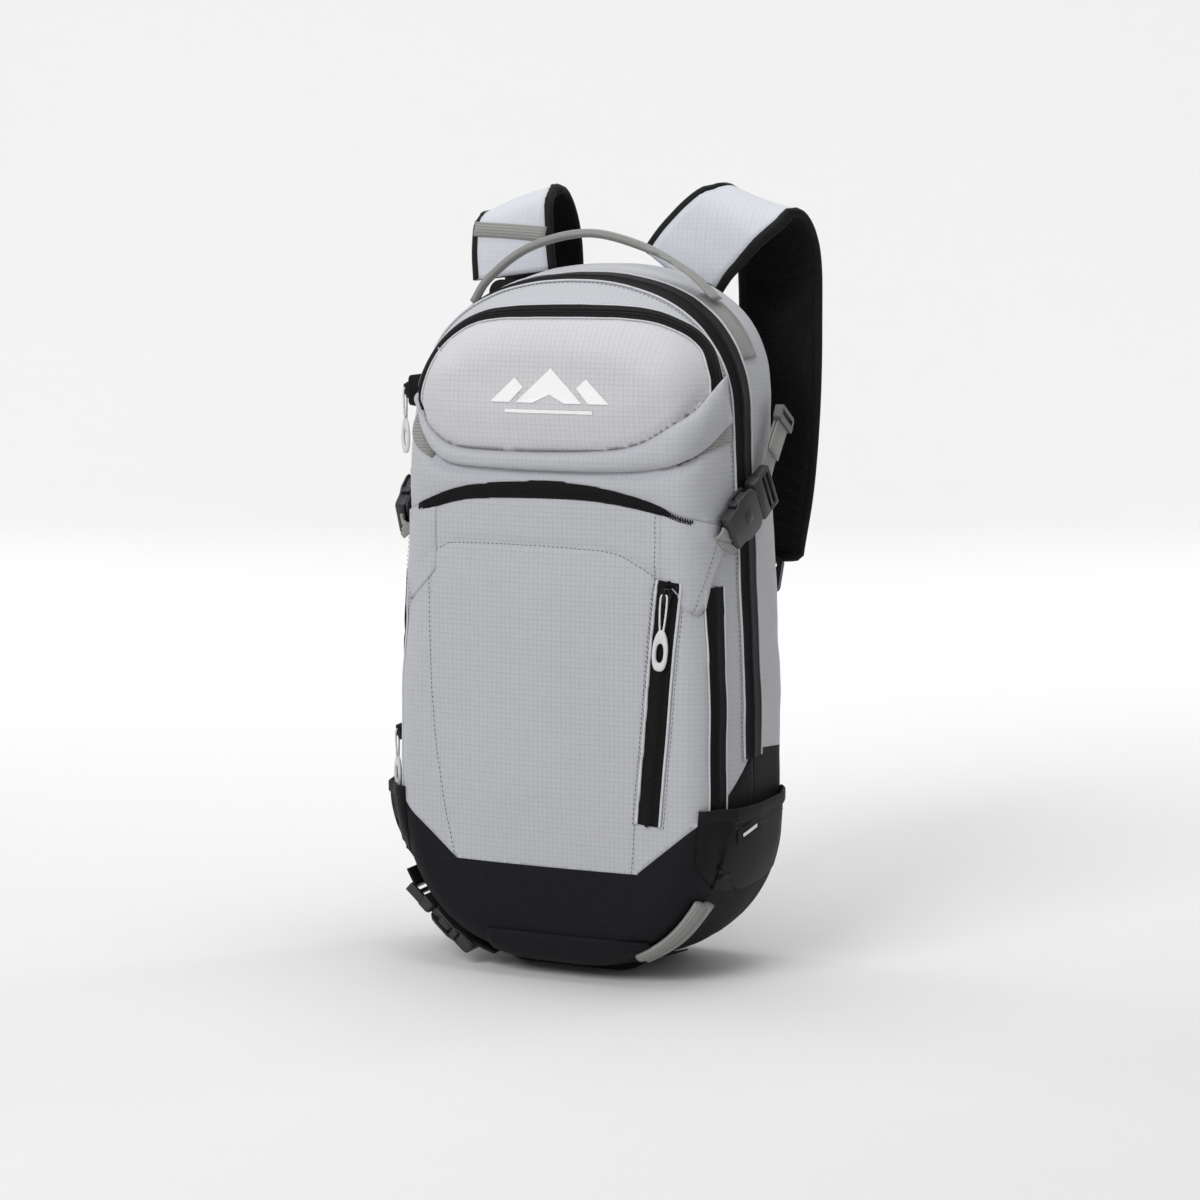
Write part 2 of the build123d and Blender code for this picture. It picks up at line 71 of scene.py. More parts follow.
shell_low, shell_high = node_box("pack_shell")
HALF = shell_high.x
BASE = shell_low.z
BACK, FRONT = shell_high.y, shell_low.y
MAIN_ZIP = node_box("main_zip_back_tape")[0].y
FOLD = node_box("main_panel")[0].z
PULL_TILT = math.radians(4.6)  # of the front pocket's short zip
COVER_EDGE = FRONT + 14  # plane round the front corner where the pocket cover begins

# Form of the stuffed bag: its outline at the main zip, and how it rounds over to the front
TAPER_LOW, TAPER = 200, 10  # where the sides start to lean in, and how far they have where the crown starts
CROWN_LOW, CROWN_TOP = 400, 496
CROWN_POWER = 2.3
FRONT_CORNER, BACK_CORNER = 114, 96  # radii of the base's corners, at the front and at the back
TOP_RIM, SIDE_RIM, BASE_RIM = (56, 64), (31, 72), (24, 66)  # inset and depth of the front's rim
BACK_RIM = (18, 27)
BULGE = 5.5
AROUND = 480
ROWS_BACK, ROWS_RIM, ROWS_SIDE, ROWS_FRONT = 16, 12, 34, 44

# Heights of the dark base cloth's top edge
SEAM_FRONT = FOLD
SEAM_CORNER = 123
SEAM_ZIP, SEAM_BACK = 166, 158


def smooth(low, high, value):
    """0 below low, 1 above high, and an even curve between."""
    t = np.clip((value - low) / (high - low), 0.0, 1.0)
    return t * t * (3 - 2 * t)


# ------------------------------------------------------------------ curves


def catmull(points, step):
    """Points a step apart on a smooth curve through the given ones."""
    p = [np.array(q, float) for q in points]
    p = [2 * p[0] - p[1]] + p + [2 * p[-1] - p[-2]]
    dense = []
    for a, b, c, d in zip(p, p[1:], p[2:], p[3:]):
        for t in np.linspace(0, 1, 24, endpoint=False):
            dense.append(
                0.5 * (2 * b + (c - a) * t + (2 * a - 5 * b + 4 * c - d) * t**2
                       + (3 * b - a - 3 * c + d) * t**3)
            )
    dense.append(p[-2])
    return even(dense, step)


def even(points, step):
    """The same line with its points evenly spaced."""
    points = np.array(points)
    run = np.concatenate([[0], np.cumsum(np.linalg.norm(np.diff(points, axis=0), axis=1))])
    count = max(2, int(round(run[-1] / step)) + 1)
    at = np.linspace(0, run[-1], count)
    return np.stack([np.interp(at, run, points[:, k]) for k in range(points.shape[1])], axis=1)


def distance_to(curve, x, z):
    """Distance in the front's plane from many points to a curve."""
    gap = np.full(x.shape, 1e9)
    for cx, cz in curve:
        gap = np.minimum(gap, (x - cx) ** 2 + (z - cz) ** 2)
    return np.sqrt(gap)


# Lines on the front, as (across, height). Across runs round the front corners on to the sides.
GOGGLE_ARC = [(-103, 402), (-100, 425), (-91, 449), (-66, 466), (-24, 472), (52, 472), (84, 464), (102, 450),
              (112, 430), (118, 400)]
SMILE_TOP = [(-108, 414), (-98, 398), (-76, 380), (-39, 376.5), (33, 378), (70, 384), (102, 403),
             (110, 415), (115.3, 430)]
SMILE_BASE = [(-108, 404), (-98, 386), (-86, 371), (-66, 364.5), (7, 363), (60, 364), (84, 367), (98, 371),
              (107, 376), (114, 385), (120, 398)]
SMILE_CREASE = [(97, 370), (105, 374), (113, 378.5), (120.5, 384)]
COVER_TOP = [(-150, 320), (-126, 325), (-100, 334), (-61, 346), (-6, 350), (40, 348.5), (78, 341), (106, 331),
             (122, 327), (150, 323)]
ARCH = [(-119, 240), (-110, 264), (-97, 296), (-82, 308), (-61, 312), (40, 311), (71, 301), (90, 288),
        (117, 268)]
LEFT_STITCH = [(-91, 303), (-87, 192), (-79, 128), (-70, 84)]
RIGHT_SEAM = [(84, 337), (84, 300), (77, 200), (68, 84)]
WING_STITCH = [(106, 328), (105, 305), (101, 277)]

goggle_arc = catmull(GOGGLE_ARC, 2)
smile_top = catmull(SMILE_TOP, 2)
smile_base = catmull(SMILE_BASE, 2)
arch_seam = catmull(ARCH, 2)
cover_top = catmull(COVER_TOP, 2)
right_seam = catmull(RIGHT_SEAM, 2)
left_stitch = catmull(LEFT_STITCH, 2)

# ------------------------------------------------------------------ the stuffed bag's surface


def bag_outline(corner):
    """The bag's outline seen from the front, as evenly spaced (x, z) from the middle of its base."""
    line = [(HALF - corner, BASE)]
    for t in np.linspace(0, math.pi / 2, 40)[1:]:
        line.append((HALF - corner + corner * math.sin(t), BASE + corner * (1 - math.cos(t))))
    line.append((HALF, TAPER_LOW))
    power = 2 / CROWN_POWER
    for t in np.linspace(0, math.pi / 2, 90):
        across, rise = math.cos(t) ** power, math.sin(t) ** power
        line.append(((HALF - TAPER) * across, CROWN_LOW + (CROWN_TOP - CROWN_LOW) * rise))
    right = [(0, BASE)] + line
    left = [(-x, z) for x, z in reversed(right)]
    loop = even(right + left[1:], 1.0)
    run = np.linspace(0, len(loop) - 1, AROUND, endpoint=False)
    return np.stack([np.interp(run, np.arange(len(loop)), loop[:, k]) for k in (0, 1)], axis=1)


def outward(loop, window=16):
    """Unit normals of a closed outline, evened out over a window so that insets don't fold."""
    tangent = np.roll(loop, -1, axis=0) - np.roll(loop, 1, axis=0)
    tangent /= np.linalg.norm(tangent, axis=1)[:, None]
    tangent = sum(np.roll(tangent, k, axis=0) for k in range(-window, window + 1))
    tangent /= np.linalg.norm(tangent, axis=1)[:, None]
    return np.stack([tangent[:, 1], -tangent[:, 0]], axis=1)


def bag_grid():
    """Rows of points from the middle of the back, round the sides, to the middle of the front."""
    front_loop, back_loop = bag_outline(FRONT_CORNER), bag_outline(BACK_CORNER)
    up = outward(front_loop)[:, 1]
    high, low = smooth(0.15, 0.95, up), smooth(0.1, 0.9, -up)
    side = 1 - high - low
    inset_size = SIDE_RIM[0] * side + TOP_RIM[0] * high + BASE_RIM[0] * low
    depth_size = SIDE_RIM[1] * side + TOP_RIM[1] * high + BASE_RIM[1] * low

    def ring(y, inset):
        """The bag's outline at one depth, drawn in by inset."""
        share = smooth(-50, 10, y)[:, None]
        loop = front_loop * (1 - share) + back_loop * share
        normal = outward(loop)
        raised = 12.0 * smooth(0, 1, np.clip(up, 0, 1)) * np.clip((y - MAIN_ZIP) / 70, -0.3, 1)
        loop = loop - normal * (inset - raised)[:, None]
        return np.stack([loop[:, 0], y, loop[:, 1]], axis=1)

    rows = []
    flat = np.ones(AROUND)
    for turn in np.linspace(0, math.pi / 2, ROWS_RIM):
        inset = BACK_RIM[0] * (1 - math.sin(turn))
        rows.append(ring(flat * (BACK - BACK_RIM[1] * (1 - math.cos(turn))), flat * inset))
    rim_start = FRONT + depth_size
    for t in np.linspace(0, 1, ROWS_SIDE)[1:]:
        rows.append(ring((BACK - BACK_RIM[1]) * (1 - t) + rim_start * t, flat * 0))
    for turn in np.linspace(0, math.pi / 2, ROWS_RIM + 6)[1:]:
        rows.append(ring(rim_start - depth_size * math.sin(turn), inset_size * (1 - math.cos(turn))))
    rim = rows[-1]
    axis = np.stack([rim[:, 0] * 0, rim[:, 1], np.clip(rim[:, 2], 150, 390)], axis=1)
    for t in np.linspace(0, 1, ROWS_FRONT)[1:]:
        row = rim * (1 - t) + axis * t
        row[:, 1] -= BULGE * math.sin(t * math.pi / 2) ** 1.4
        rows.append(row)
    first = rows[0]
    back = []
    axis = np.stack([first[:, 0] * 0, first[:, 1], np.clip(first[:, 2], 150, 390)], axis=1)
    for t in np.linspace(1, 0, ROWS_BACK, endpoint=False):
        back.append(first * (1 - t) + axis * t)
    return np.array(back + rows)


def wrinkle(point, size, seed=0.0):
    """Smooth noise of about -1 to 1, in cells of the given size."""
    return noise.noise(Vector(point) / size + Vector((seed, 7.3, 1.9)))


def relief(points, normals):
    """How far the stuffed cloth stands out of its plain form: seams pull in, panels swell."""
    x, y, z = points[:, 0], points[:, 1], points[:, 2]
    facing = smooth(0.15, 0.7, -normals[:, 1])
    rise = np.zeros(len(points))

    def groove(curve, depth, width):
        """A soft valley along a curve."""
        return -depth * np.exp(-((distance_to(curve, x, z) / width) ** 2))

    inside_arch = smooth(0, 30, distance_to(arch_seam, x, z)) * (z < np.interp(x, arch_seam[:, 0],
                                                                               arch_seam[:, 1]))
    rise += groove(arch_seam, 1.6, 2.2)
    rise += groove(right_seam, 1.5, 2.4) * (z < 300) + groove(left_stitch, 0.7, 2.0)
    rise += 2.0 * inside_arch * (np.abs(x) < 118)
    rise += groove(cover_top, 2.0, 7) * (np.abs(x) < 112)
    low_edge = np.interp(x, smile_base[:, 0], smile_base[:, 1])
    high_edge = np.interp(x, smile_top[:, 0], smile_top[:, 1])
    top_edge = np.interp(x, cover_top[:, 0], cover_top[:, 1])
    shelf = (z > top_edge) * (z < low_edge)
    rise += 2.4 * shelf * np.sin(np.pi * np.clip((z - top_edge) / np.maximum(low_edge - top_edge, 8), 0, 1))
    rise += groove(smile_base, 4.5, 5.0) + groove(smile_top, 2.5, 4.0)
    in_goggle = (z > high_edge) * (np.abs(x) < 112)
    rise += 5.0 * in_goggle * smooth(0, 34, distance_to(goggle_arc, x, z)) * smooth(0, 30, z - high_edge)
    rise += groove(goggle_arc, 1.4, 5)
    rise *= facing
    for i, p in enumerate(points):
        soft = 0.9 * wrinkle(p, 46) + 0.35 * wrinkle(p, 17, 3.0)
        rise[i] += soft * (0.35 if -normals[i, 1] < -0.5 else 1.0)
    return rise


def build_surface():
    """The bag's surface as one bmesh in millimetres, seams and folds pressed in."""
    grid = bag_grid()
    rows, count = grid.shape[:2]
    bm = bmesh.new()
    verts = [[bm.verts.new(p) for p in row] for row in grid]
    for low, high in zip(verts, verts[1:]):
        for i in range(count):
            j = (i + 1) % count
            bm.faces.new((low[i], low[j], high[j], high[i]))
    bmesh.ops.remove_doubles(bm, verts=bm.verts, dist=0.6)
    bmesh.ops.dissolve_degenerate(bm, edges=bm.edges, dist=0.05)
    bmesh.ops.recalc_face_normals(bm, faces=bm.faces)
    bm.normal_update()
    bm.verts.ensure_lookup_table()
    points = np.array([v.co for v in bm.verts])
    normals = np.array([v.normal for v in bm.verts])
    for v, lift in zip(bm.verts, relief(points, normals)):
        v.co += v.normal * float(lift)
    bm.normal_update()
    return bm


surface = build_surface()
if sum((f.calc_center_median() - Vector((0, 0, 250))).dot(f.normal) for f in surface.faces) < 0:
    bmesh.ops.reverse_faces(surface, faces=surface.faces)
    surface.normal_update()
tree = BVHTree.FromBMesh(surface)
surface.faces.ensure_lookup_table()


def nearest(point):
    """The bag's nearest surface point and its smooth normal there."""
    place, _, index, _ = tree.find_nearest(Vector(point))
    face = surface.faces[index]
    normal = Vector()
    for v in face.verts:
        normal += v.normal / max((v.co - place).length, 0.3)
    return place, normal.normalized()


CORNER_X = 123  # where the front's coordinates turn on to the side
CORNER_Y = -64


def wrap(across, z, height=0.0):
    """The surface point at a distance across the front, which goes on along the sides from CORNER_X."""
    way = 1 if across >= 0 else -1
    w = abs(across)
    if w <= CORNER_X:
        hit = tree.ray_cast(Vector((way * w, -300, z)), Vector((0, 1, 0)))
        if hit[0] is not None:
            place, normal = nearest(hit[0])
            return place + normal * height
    place, normal = nearest((way * HALF, CORNER_Y + w - CORNER_X, z))
    return place + normal * height


def wrap_path(points, step=2.5):
    """A smooth line on the surface through (across, height) points."""
    return [wrap(w, z) for w, z in catmull(points, step)]


# ------------------------------------------------------------------ materials


class Cloth:
    """A node material with a few short ways to write its maths."""

    def __init__(self, name, roughness, **sockets):
        self.material = bpy.data.materials.new(name)
        self.material.use_nodes = True
        self.tree = self.material.node_tree
        self.shader = self.tree.nodes["Principled BSDF"]
        self.shader.inputs["Roughness"].default_value = roughness
        for socket, value in sockets.items():
            self.shader.inputs[socket.replace("_", " ")].default_value = value

    def node(self, kind, **values):
        """A new node with some of its values set."""
        made = self.tree.nodes.new(kind)
        for key, value in values.items():
            setattr(made, key, value)
        return made

    def link(self, out, socket):
        """Joins an output to an input."""
        self.tree.links.new(out, socket)

    def math(self, operation, a, b=None, c=None):
        """The result of a maths node."""
        made = self.node("ShaderNodeMath", operation=operation)
        for socket, value in zip(made.inputs, (a, b, c)):
            if value is None:
                continue
            if isinstance(value, (int, float)):
                socket.default_value = value
            else:
                self.link(value, socket)
        return made.outputs[0]

    def place(self):
        """Object coordinates in millimetres, split into x, y and z."""
        coords = self.node("ShaderNodeTexCoord")
        scaled = self.node("ShaderNodeVectorMath", operation="SCALE")
        scaled.inputs["Scale"].default_value = 1 / MM
        self.link(coords.outputs["Object"], scaled.inputs[0])
        split = self.node("ShaderNodeSeparateXYZ")
        self.link(scaled.outputs[0], split.inputs[0])
        turned = self.node("ShaderNodeSeparateXYZ")
        self.link(coords.outputs["Normal"], turned.inputs[0])
        self.vector = scaled.outputs[0]
        return split.outputs, turned.outputs

    def strip(self):
        """Distance along and across a strip, in millimetres."""
        read = self.node("ShaderNodeAttribute", attribute_name="strip")
        split = self.node("ShaderNodeSeparateXYZ")
        self.link(read.outputs["Vector"], split.inputs[0])
        return split.outputs[0], split.outputs[1]

    def noise(self, size, detail=2.0):
        """Noise of 0 to 1 in cells of the given size."""
        made = self.node("ShaderNodeTexNoise")
        made.inputs["Scale"].default_value = 1 / size
        made.inputs["Detail"].default_value = detail
        self.link(self.vector, made.inputs["Vector"])
        return made.outputs["Fac"]

    def tint(self, amount, dark, light):
        """Base colour from one to the other as the amount goes from 0 to 1."""
        ramp = self.node("ShaderNodeMix", data_type="RGBA")
        self.link(amount, ramp.inputs["Factor"])
        ramp.inputs["A"].default_value = (*dark, 1)
        ramp.inputs["B"].default_value = (*light, 1)
        self.link(ramp.outputs["Result"], self.shader.inputs["Base Color"])

    def bump(self, height, distance):
        """Raises the surface by a height of 0 to 1, in millimetres."""
        made = self.node("ShaderNodeBump")
        made.inputs["Distance"].default_value = distance * MM
        self.link(height, made.inputs["Height"])
        self.link(made.outputs[0], self.shader.inputs["Normal"])


def scaled(colour, factor):
    """A colour made darker or lighter."""
    return tuple(min(1.0, c * factor) for c in colour)


def ripstop(name, colour, cell=3.6, thread=0.55, roughness=0.62, line=0.30, contrast=0.12):
    """Coated plain weave with a fine reinforcing grid."""
    cloth = Cloth(name, roughness, Sheen_Weight=0.15, Sheen_Roughness=0.4)
    place, normal = cloth.place()
    grid, weave = None, None
    for k in range(3):
        facing = cloth.math("SUBTRACT", 1.0, cloth.math("MULTIPLY", normal[k], normal[k]))
        facing = cloth.math("MULTIPLY", facing, facing)
        near = cloth.math("PINGPONG", place[k], cell / 2)
        near = cloth.math("SUBTRACT", 1.0, cloth.math("SMOOTH_MIN", cloth.math("DIVIDE", near, line), 1.0,
                                                      0.2))
        near = cloth.math("MULTIPLY", cloth.math("MAXIMUM", near, 0.0), facing)
        wave = cloth.math("SINE", cloth.math("MULTIPLY", place[k], 2 * math.pi / thread))
        wave = cloth.math("MULTIPLY", wave, facing)
        grid = near if grid is None else cloth.math("MAXIMUM", grid, near)
        weave = wave if weave is None else cloth.math("ADD", weave, wave)
    patch = cloth.noise(90.0, 3.0)
    grain = cloth.noise(0.8, 2.0)
    light = cloth.math("ADD", cloth.math("MULTIPLY", patch, 0.25), cloth.math("MULTIPLY", grain, 0.75))
    light = cloth.math("SUBTRACT", light, cloth.math("MULTIPLY", grid, 0.8))
    cloth.tint(cloth.math("MAXIMUM", light, 0.0), scaled(colour, 1 - contrast), scaled(colour, 1 + contrast))
    height = cloth.math("ADD", cloth.math("MULTIPLY", weave, 0.12), cloth.math("MULTIPLY", grid, 0.7))
    height = cloth.math("ADD", height, cloth.math("MULTIPLY", cloth.noise(6.0, 3.0), 0.5))
    cloth.bump(height, 0.16)
    return cloth.material


def coarse(name, colour, thread=1.1, roughness=0.72, sheen=0.02, depth=0.18, shine=0.2):
    """Heavy basket weave, for the dark base cloth."""
    cloth = Cloth(name, roughness, Sheen_Weight=sheen, Sheen_Roughness=0.5, Specular_IOR_Level=shine)
    place, normal = cloth.place()
    weave = None
    for k in range(3):
        wave = cloth.math("SINE", cloth.math("MULTIPLY", place[k], 2 * math.pi / thread))
        facing = cloth.math("SUBTRACT", 1.0, cloth.math("MULTIPLY", normal[k], normal[k]))
        wave = cloth.math("MULTIPLY", wave, facing)
        weave = wave if weave is None else cloth.math("ADD", weave, wave)
    grain = cloth.noise(1.3, 2.0)
    mixed = cloth.math("ADD", cloth.math("MULTIPLY", weave, 0.2), grain)
    cloth.tint(mixed, scaled(colour, 0.55), scaled(colour, 1.7))
    cloth.bump(mixed, depth)
    return cloth.material


def ribbed(name, colour, rib=2.2, pick=1.3, roughness=0.66, contrast=0.28):
    """Flat webbing with ribs along it and fine picks across."""
    cloth = Cloth(name, roughness, Sheen_Weight=0.2, Sheen_Roughness=0.45)
    cloth.place()
    along, across = cloth.strip()
    ribs = cloth.math("SINE", cloth.math("MULTIPLY", across, 2 * math.pi / rib))
    slant = cloth.math("ADD", along, cloth.math("MULTIPLY", ribs, pick * 0.3))
    picks = cloth.math("SINE", cloth.math("MULTIPLY", slant, 2 * math.pi / pick))
    mixed = cloth.math("ADD", cloth.math("MULTIPLY", ribs, 0.3), cloth.math("MULTIPLY", picks, 0.18))
    mixed = cloth.math("ADD", cloth.math("ADD", mixed, 0.25), cloth.math("MULTIPLY", cloth.noise(1.1), 0.5))
    cloth.tint(mixed, scaled(colour, 1 - contrast), scaled(colour, 1 + contrast))
    cloth.bump(mixed, 0.35)
    return cloth.material


def spacer_mesh(name, colour, cell=2.4):
    """Open spacer mesh: a web of threads round holes, the darkness of the holes painted shade."""
    cloth = Cloth(name, 0.85, Specular_IOR_Level=0.15)
    cloth.place()
    holes = cloth.node("ShaderNodeTexVoronoi", feature="DISTANCE_TO_EDGE")
    holes.inputs["Scale"].default_value = 1 / cell
    holes.inputs["Randomness"].default_value = 0.35
    cloth.link(cloth.vector, holes.inputs["Vector"])
    rim = cloth.math("SUBTRACT", 1.0, cloth.math("MINIMUM", cloth.math("MULTIPLY", holes.outputs[0], 3.2),
                                                 1.0))
    # painted shade: the colour is darker in the middle of each cell, where the holes are, and lighter on the
    # threads
    cloth.tint(rim, scaled(colour, 0.6), scaled(colour, 1.5))
    cloth.bump(rim, 0.3)
    return cloth.material


def plain(name, colour, roughness, grain=1.2, depth=0.04, contrast=0.12, **sockets):
    """Moulded plastic, rubber or lacquer with a fine grain."""
    cloth = Cloth(name, roughness, **sockets)
    cloth.place()
    fine = cloth.noise(grain, 3.0)
    patch = cloth.noise(25.0, 2.0)
    mixed = cloth.math("ADD", cloth.math("MULTIPLY", fine, 0.5), cloth.math("MULTIPLY", patch, 0.5))
    cloth.tint(mixed, scaled(colour, 1 - contrast), scaled(colour, 1 + contrast))
    cloth.bump(fine, depth)
    return cloth.material


LIGHT = (0.475, 0.482, 0.512)
light_cloth = ripstop("light_ripstop", LIGHT)
panel_cloth = ripstop("goggle_ripstop", (0.58, 0.58, 0.60), cell=3.6)
dark_cloth = coarse("dark_weave", (0.0085, 0.009, 0.011), shine=0.12)
pouch_cloth = coarse("pouch_weave", (0.005, 0.005, 0.006), thread=0.9, roughness=0.6, shine=0.15)
lining_cloth = coarse("lining", (0.10, 0.10, 0.105), thread=0.7, roughness=0.6, depth=0.08)
tape_cloth = coarse("zip_tape", (0.0045, 0.0047, 0.0047), thread=0.8, roughness=0.6, depth=0.1, shine=0.12)
tooth_plastic = plain("zip_teeth", (0.006, 0.006, 0.006), 0.5, Specular_IOR_Level=0.2)
webbing_cloth = ribbed("webbing", (0.26, 0.262, 0.25))
strap_cloth = ripstop("strap_cloth", (0.60, 0.62, 0.67), cell=3.6, contrast=0.06, line=0.2)
binding_cloth = coarse("binding", (0.007, 0.007, 0.008), thread=1.0, roughness=0.6, shine=0.15)
mesh_cloth = spacer_mesh("spacer_mesh", (0.0075, 0.0075, 0.0085))
foam_stuff = plain("foam", (0.05, 0.05, 0.05), 0.9, grain=2.5, depth=0.25)
buckle_plastic = plain("buckle_plastic", (0.022, 0.022, 0.024), 0.42, grain=0.8)
ring_plastic = plain("ring_plastic", (0.09, 0.09, 0.088), 0.4, grain=0.8)
sheet_plastic = plain("sheet_plastic", (0.7, 0.7, 0.68), 0.35)
slider_lacquer = plain("slider_lacquer", (0.012, 0.012, 0.012), 0.28, Metallic=0.6)
white_rubber = plain("white_rubber", (0.74, 0.75, 0.74), 0.42, Transmission_Weight=0.12)
dark_rubber = plain("dark_rubber", (0.015, 0.015, 0.015), 0.55)
white_print = plain("white_print", (0.86, 0.86, 0.87), 0.5, contrast=0.03)
white_cord = coarse("white_cord", (0.72, 0.72, 0.71), thread=0.9, roughness=0.6, depth=0.2)
light_thread = plain("light_thread", (0.36, 0.365, 0.385), 0.6)
dark_thread = plain("dark_thread", (0.16, 0.165, 0.17), 0.6)
pale_piping = ripstop("pale_piping", (0.60, 0.61, 0.64), thread=0.7)

# ------------------------------------------------------------------ ways to make a piece


def add_piece(name, verts, faces, material, body, strip=None, flat=False):
    """A mesh in millimetres, in the given material, that rides on a body when one is given."""
    mesh = bpy.data.meshes.new(name)
    mesh.from_pydata([tuple(Vector(v) * MM) for v in verts], [], [tuple(f) for f in faces])
    mesh.materials.append(material)
    mesh.polygons.foreach_set("use_smooth", [not flat] * len(mesh.polygons))
    if strip is not None:
        layer = mesh.attributes.new("strip", "FLOAT_VECTOR", "POINT")
        layer.data.foreach_set("vector", np.array(strip, float).ravel())
    mesh.update()
    made = bpy.data.objects.new(name, mesh)
    bpy.context.collection.objects.link(made)
    if body:
        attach(made, body)
    return made


def thicken(piece, thickness, offset=-1.0):
    """Gives a sheet its thickness, inwards by default."""
    change = piece.modifiers.new("thickness", "SOLIDIFY")
    change.thickness = thickness * MM
    change.offset = offset
    return piece


def soften(piece, width=0.6, segments=2):
    """Rounds a moulded piece's edges."""
    change = piece.modifiers.new("rounding", "BEVEL")
    change.width = width * MM
    change.segments = segments
    change.limit_method = "ANGLE"
    change.angle_limit = math.radians(35)
    return piece


def frames_on(path, across):
    """Tangent, sideways and outward directions along a path on the bag. across fixes the side's sense."""
    path = [Vector(p) for p in path]
    found = []
    for i, p in enumerate(path):
        tangent = (path[min(i + 1, len(path) - 1)] - path[max(i - 1, 0)]).normalized()
        _, normal = nearest(p)
        side = tangent.cross(normal).normalized()
        hint = across(p) if callable(across) else Vector(across)
        if side.dot(hint) < 0:
            side = -side
        found.append((p, tangent, side, normal))
    return found


def lay(name, path, profile, material, body, across=(0, 0, 1), width=None, lift=0.0, closed=True):
    """A strip laid along a path on the bag.

    profile lists (sideways, height) corners. width scales the sideways reach along the path.
    """
    frames = frames_on(path, across)
    verts, strip = [], []
    run = 0.0
    for i, (p, _, side, normal) in enumerate(frames):
        if i:
            run += (p - frames[i - 1][0]).length
        share = i / (len(frames) - 1)
        reach = width(share) if width else 1.0
        for a, h in profile:
            place, out = nearest(p + side * (a * reach))
            verts.append(place + out * (h + lift))
            strip.append((run, a * reach, 0))
    n = len(profile)
    faces = []
    for i in range(len(frames) - 1):
        for k in range(n if closed else n - 1):
            m = (k + 1) % n
            faces.append((i * n + k, i * n + m, (i + 1) * n + m, (i + 1) * n + k))
    if closed:
        faces.append(range(n))
        faces.append([(len(frames) - 1) * n + k for k in reversed(range(n))])
    piece = add_piece(name, verts, faces, material, body, strip)
    return turn_out(piece)


def turn_out(piece):
    """Makes a closed piece's faces look outwards."""
    bm = bmesh.new()
    bm.from_mesh(piece.data)
    bmesh.ops.recalc_face_normals(bm, faces=bm.faces)
    bm.to_mesh(piece.data)
    bm.free()
    return piece


def roll(centre, radius, height=0.0, sides=8):
    """Profile of a round cord lying beside a path."""
    turns = [2 * math.pi * k / sides for k in range(sides)]
    return [(centre + radius * math.cos(t), height + radius * (1 + math.sin(t))) for t in turns]


def stitch(name, path, material, body, across=(0, 0, 1), offset=0.0, pitch=3.4, size=(2.3, 0.55), height=0.1):
    """A row of separate stitches along a path on the bag. height may depend on the share of the path."""
    points = even([tuple(p) for p in path], pitch)
    verts, faces = [], []
    for i, (p, tangent, side, _) in enumerate(frames_on(points, across)):
        place, out = nearest(p + side * offset)
        middle = place + out * (height(i / (len(points) - 1)) if callable(height) else height)
        base = len(verts)
        half, wide = size[0] / 2, size[1] / 2
        for a, w, h in ((-half, 0, 0), (-half * 0.5, wide, 0.05), (half * 0.5, wide, 0.05), (half, 0, 0),
                        (half * 0.5, -wide, 0.05), (-half * 0.5, -wide, 0.05), (-half * 0.5, 0, 0.4),
                        (half * 0.5, 0, 0.4)):
            verts.append(middle + tangent * a + side * w + out * h)
        faces += [[base + k for k in f] for f in
                  ((0, 1, 6), (1, 2, 7, 6), (2, 3, 7), (3, 4, 7), (4, 5, 6, 7), (5, 0, 6),
                   (0, 5, 4, 3, 2, 1))]
    return turn_out(add_piece(name, verts, faces, material, body))


def teeth(name, path, body, side, across=(0, 0, 1), pitch=1.7):
    """One side's coil of a zip: short loops that reach to the middle from one tape."""
    points = even([tuple(p) for p in path], pitch)
    verts, faces = [], []
    low, high, wide = 0.9, 1.9, pitch * 0.27
    for p, tangent, sideways, normal in frames_on(points, across):
        place, out = nearest(p)
        base = len(verts)
        shift = tangent * (pitch * 0.25 * side)
        for a in (-0.2, 1.9):
            for t, h in ((-wide, low), (wide, low), (wide, high), (-wide, high)):
                fall = 0.25 if a > 0 and h == high else 0
                verts.append(place + sideways * (a * side) + tangent * t + out * (h - fall) + shift)
        quads = ((0, 1, 2, 3), (4, 7, 6, 5), (0, 4, 5, 1), (1, 5, 6, 2), (2, 6, 7, 3), (3, 7, 4, 0))
        faces += [[base + k for k in f] for f in quads]
    return turn_out(add_piece(name, verts, faces, tooth_plastic, body))


def patch(name, top, bottom, material, body, slot, rise, rows=14, step=4.0, thickness=1.2):
    """A panel of cloth between two lines on the bag, standing out by rise(along, down)."""
    upper, lower = catmull(top, 1.0), catmull(bottom, 1.0)
    count = max(6, int(len(upper) / step))
    verts, strip = [], []
    for i in range(count + 1):
        u = i / count
        a, b = upper[int(u * (len(upper) - 1))], lower[int(u * (len(lower) - 1))]
        for j in range(rows + 1):
            v = j / rows
            w, z = a * (1 - v) + b * v
            verts.append(wrap(w, z, rise(u, v)))
            strip.append((w, z, 0))
    n = rows + 1
    faces = [(i * n + j, (i + 1) * n + j, (i + 1) * n + j + 1, i * n + j + 1)
             for i in range(count) for j in range(rows)]
    piece = add_piece(name, verts, faces, material, body, strip)
    face_away(piece)
    return thicken(piece, thickness)


def face_away(piece):
    """Turns an open sheet's faces so that they look away from the bag's middle."""
    mesh = piece.data
    centre = Vector((0, -10, 260)) * MM
    if sum((p.center - centre).dot(p.normal) * p.area for p in mesh.polygons) < 0:
        mesh.flip_normals()


# ------------------------------------------------------------------ cloth body, cut into its panels


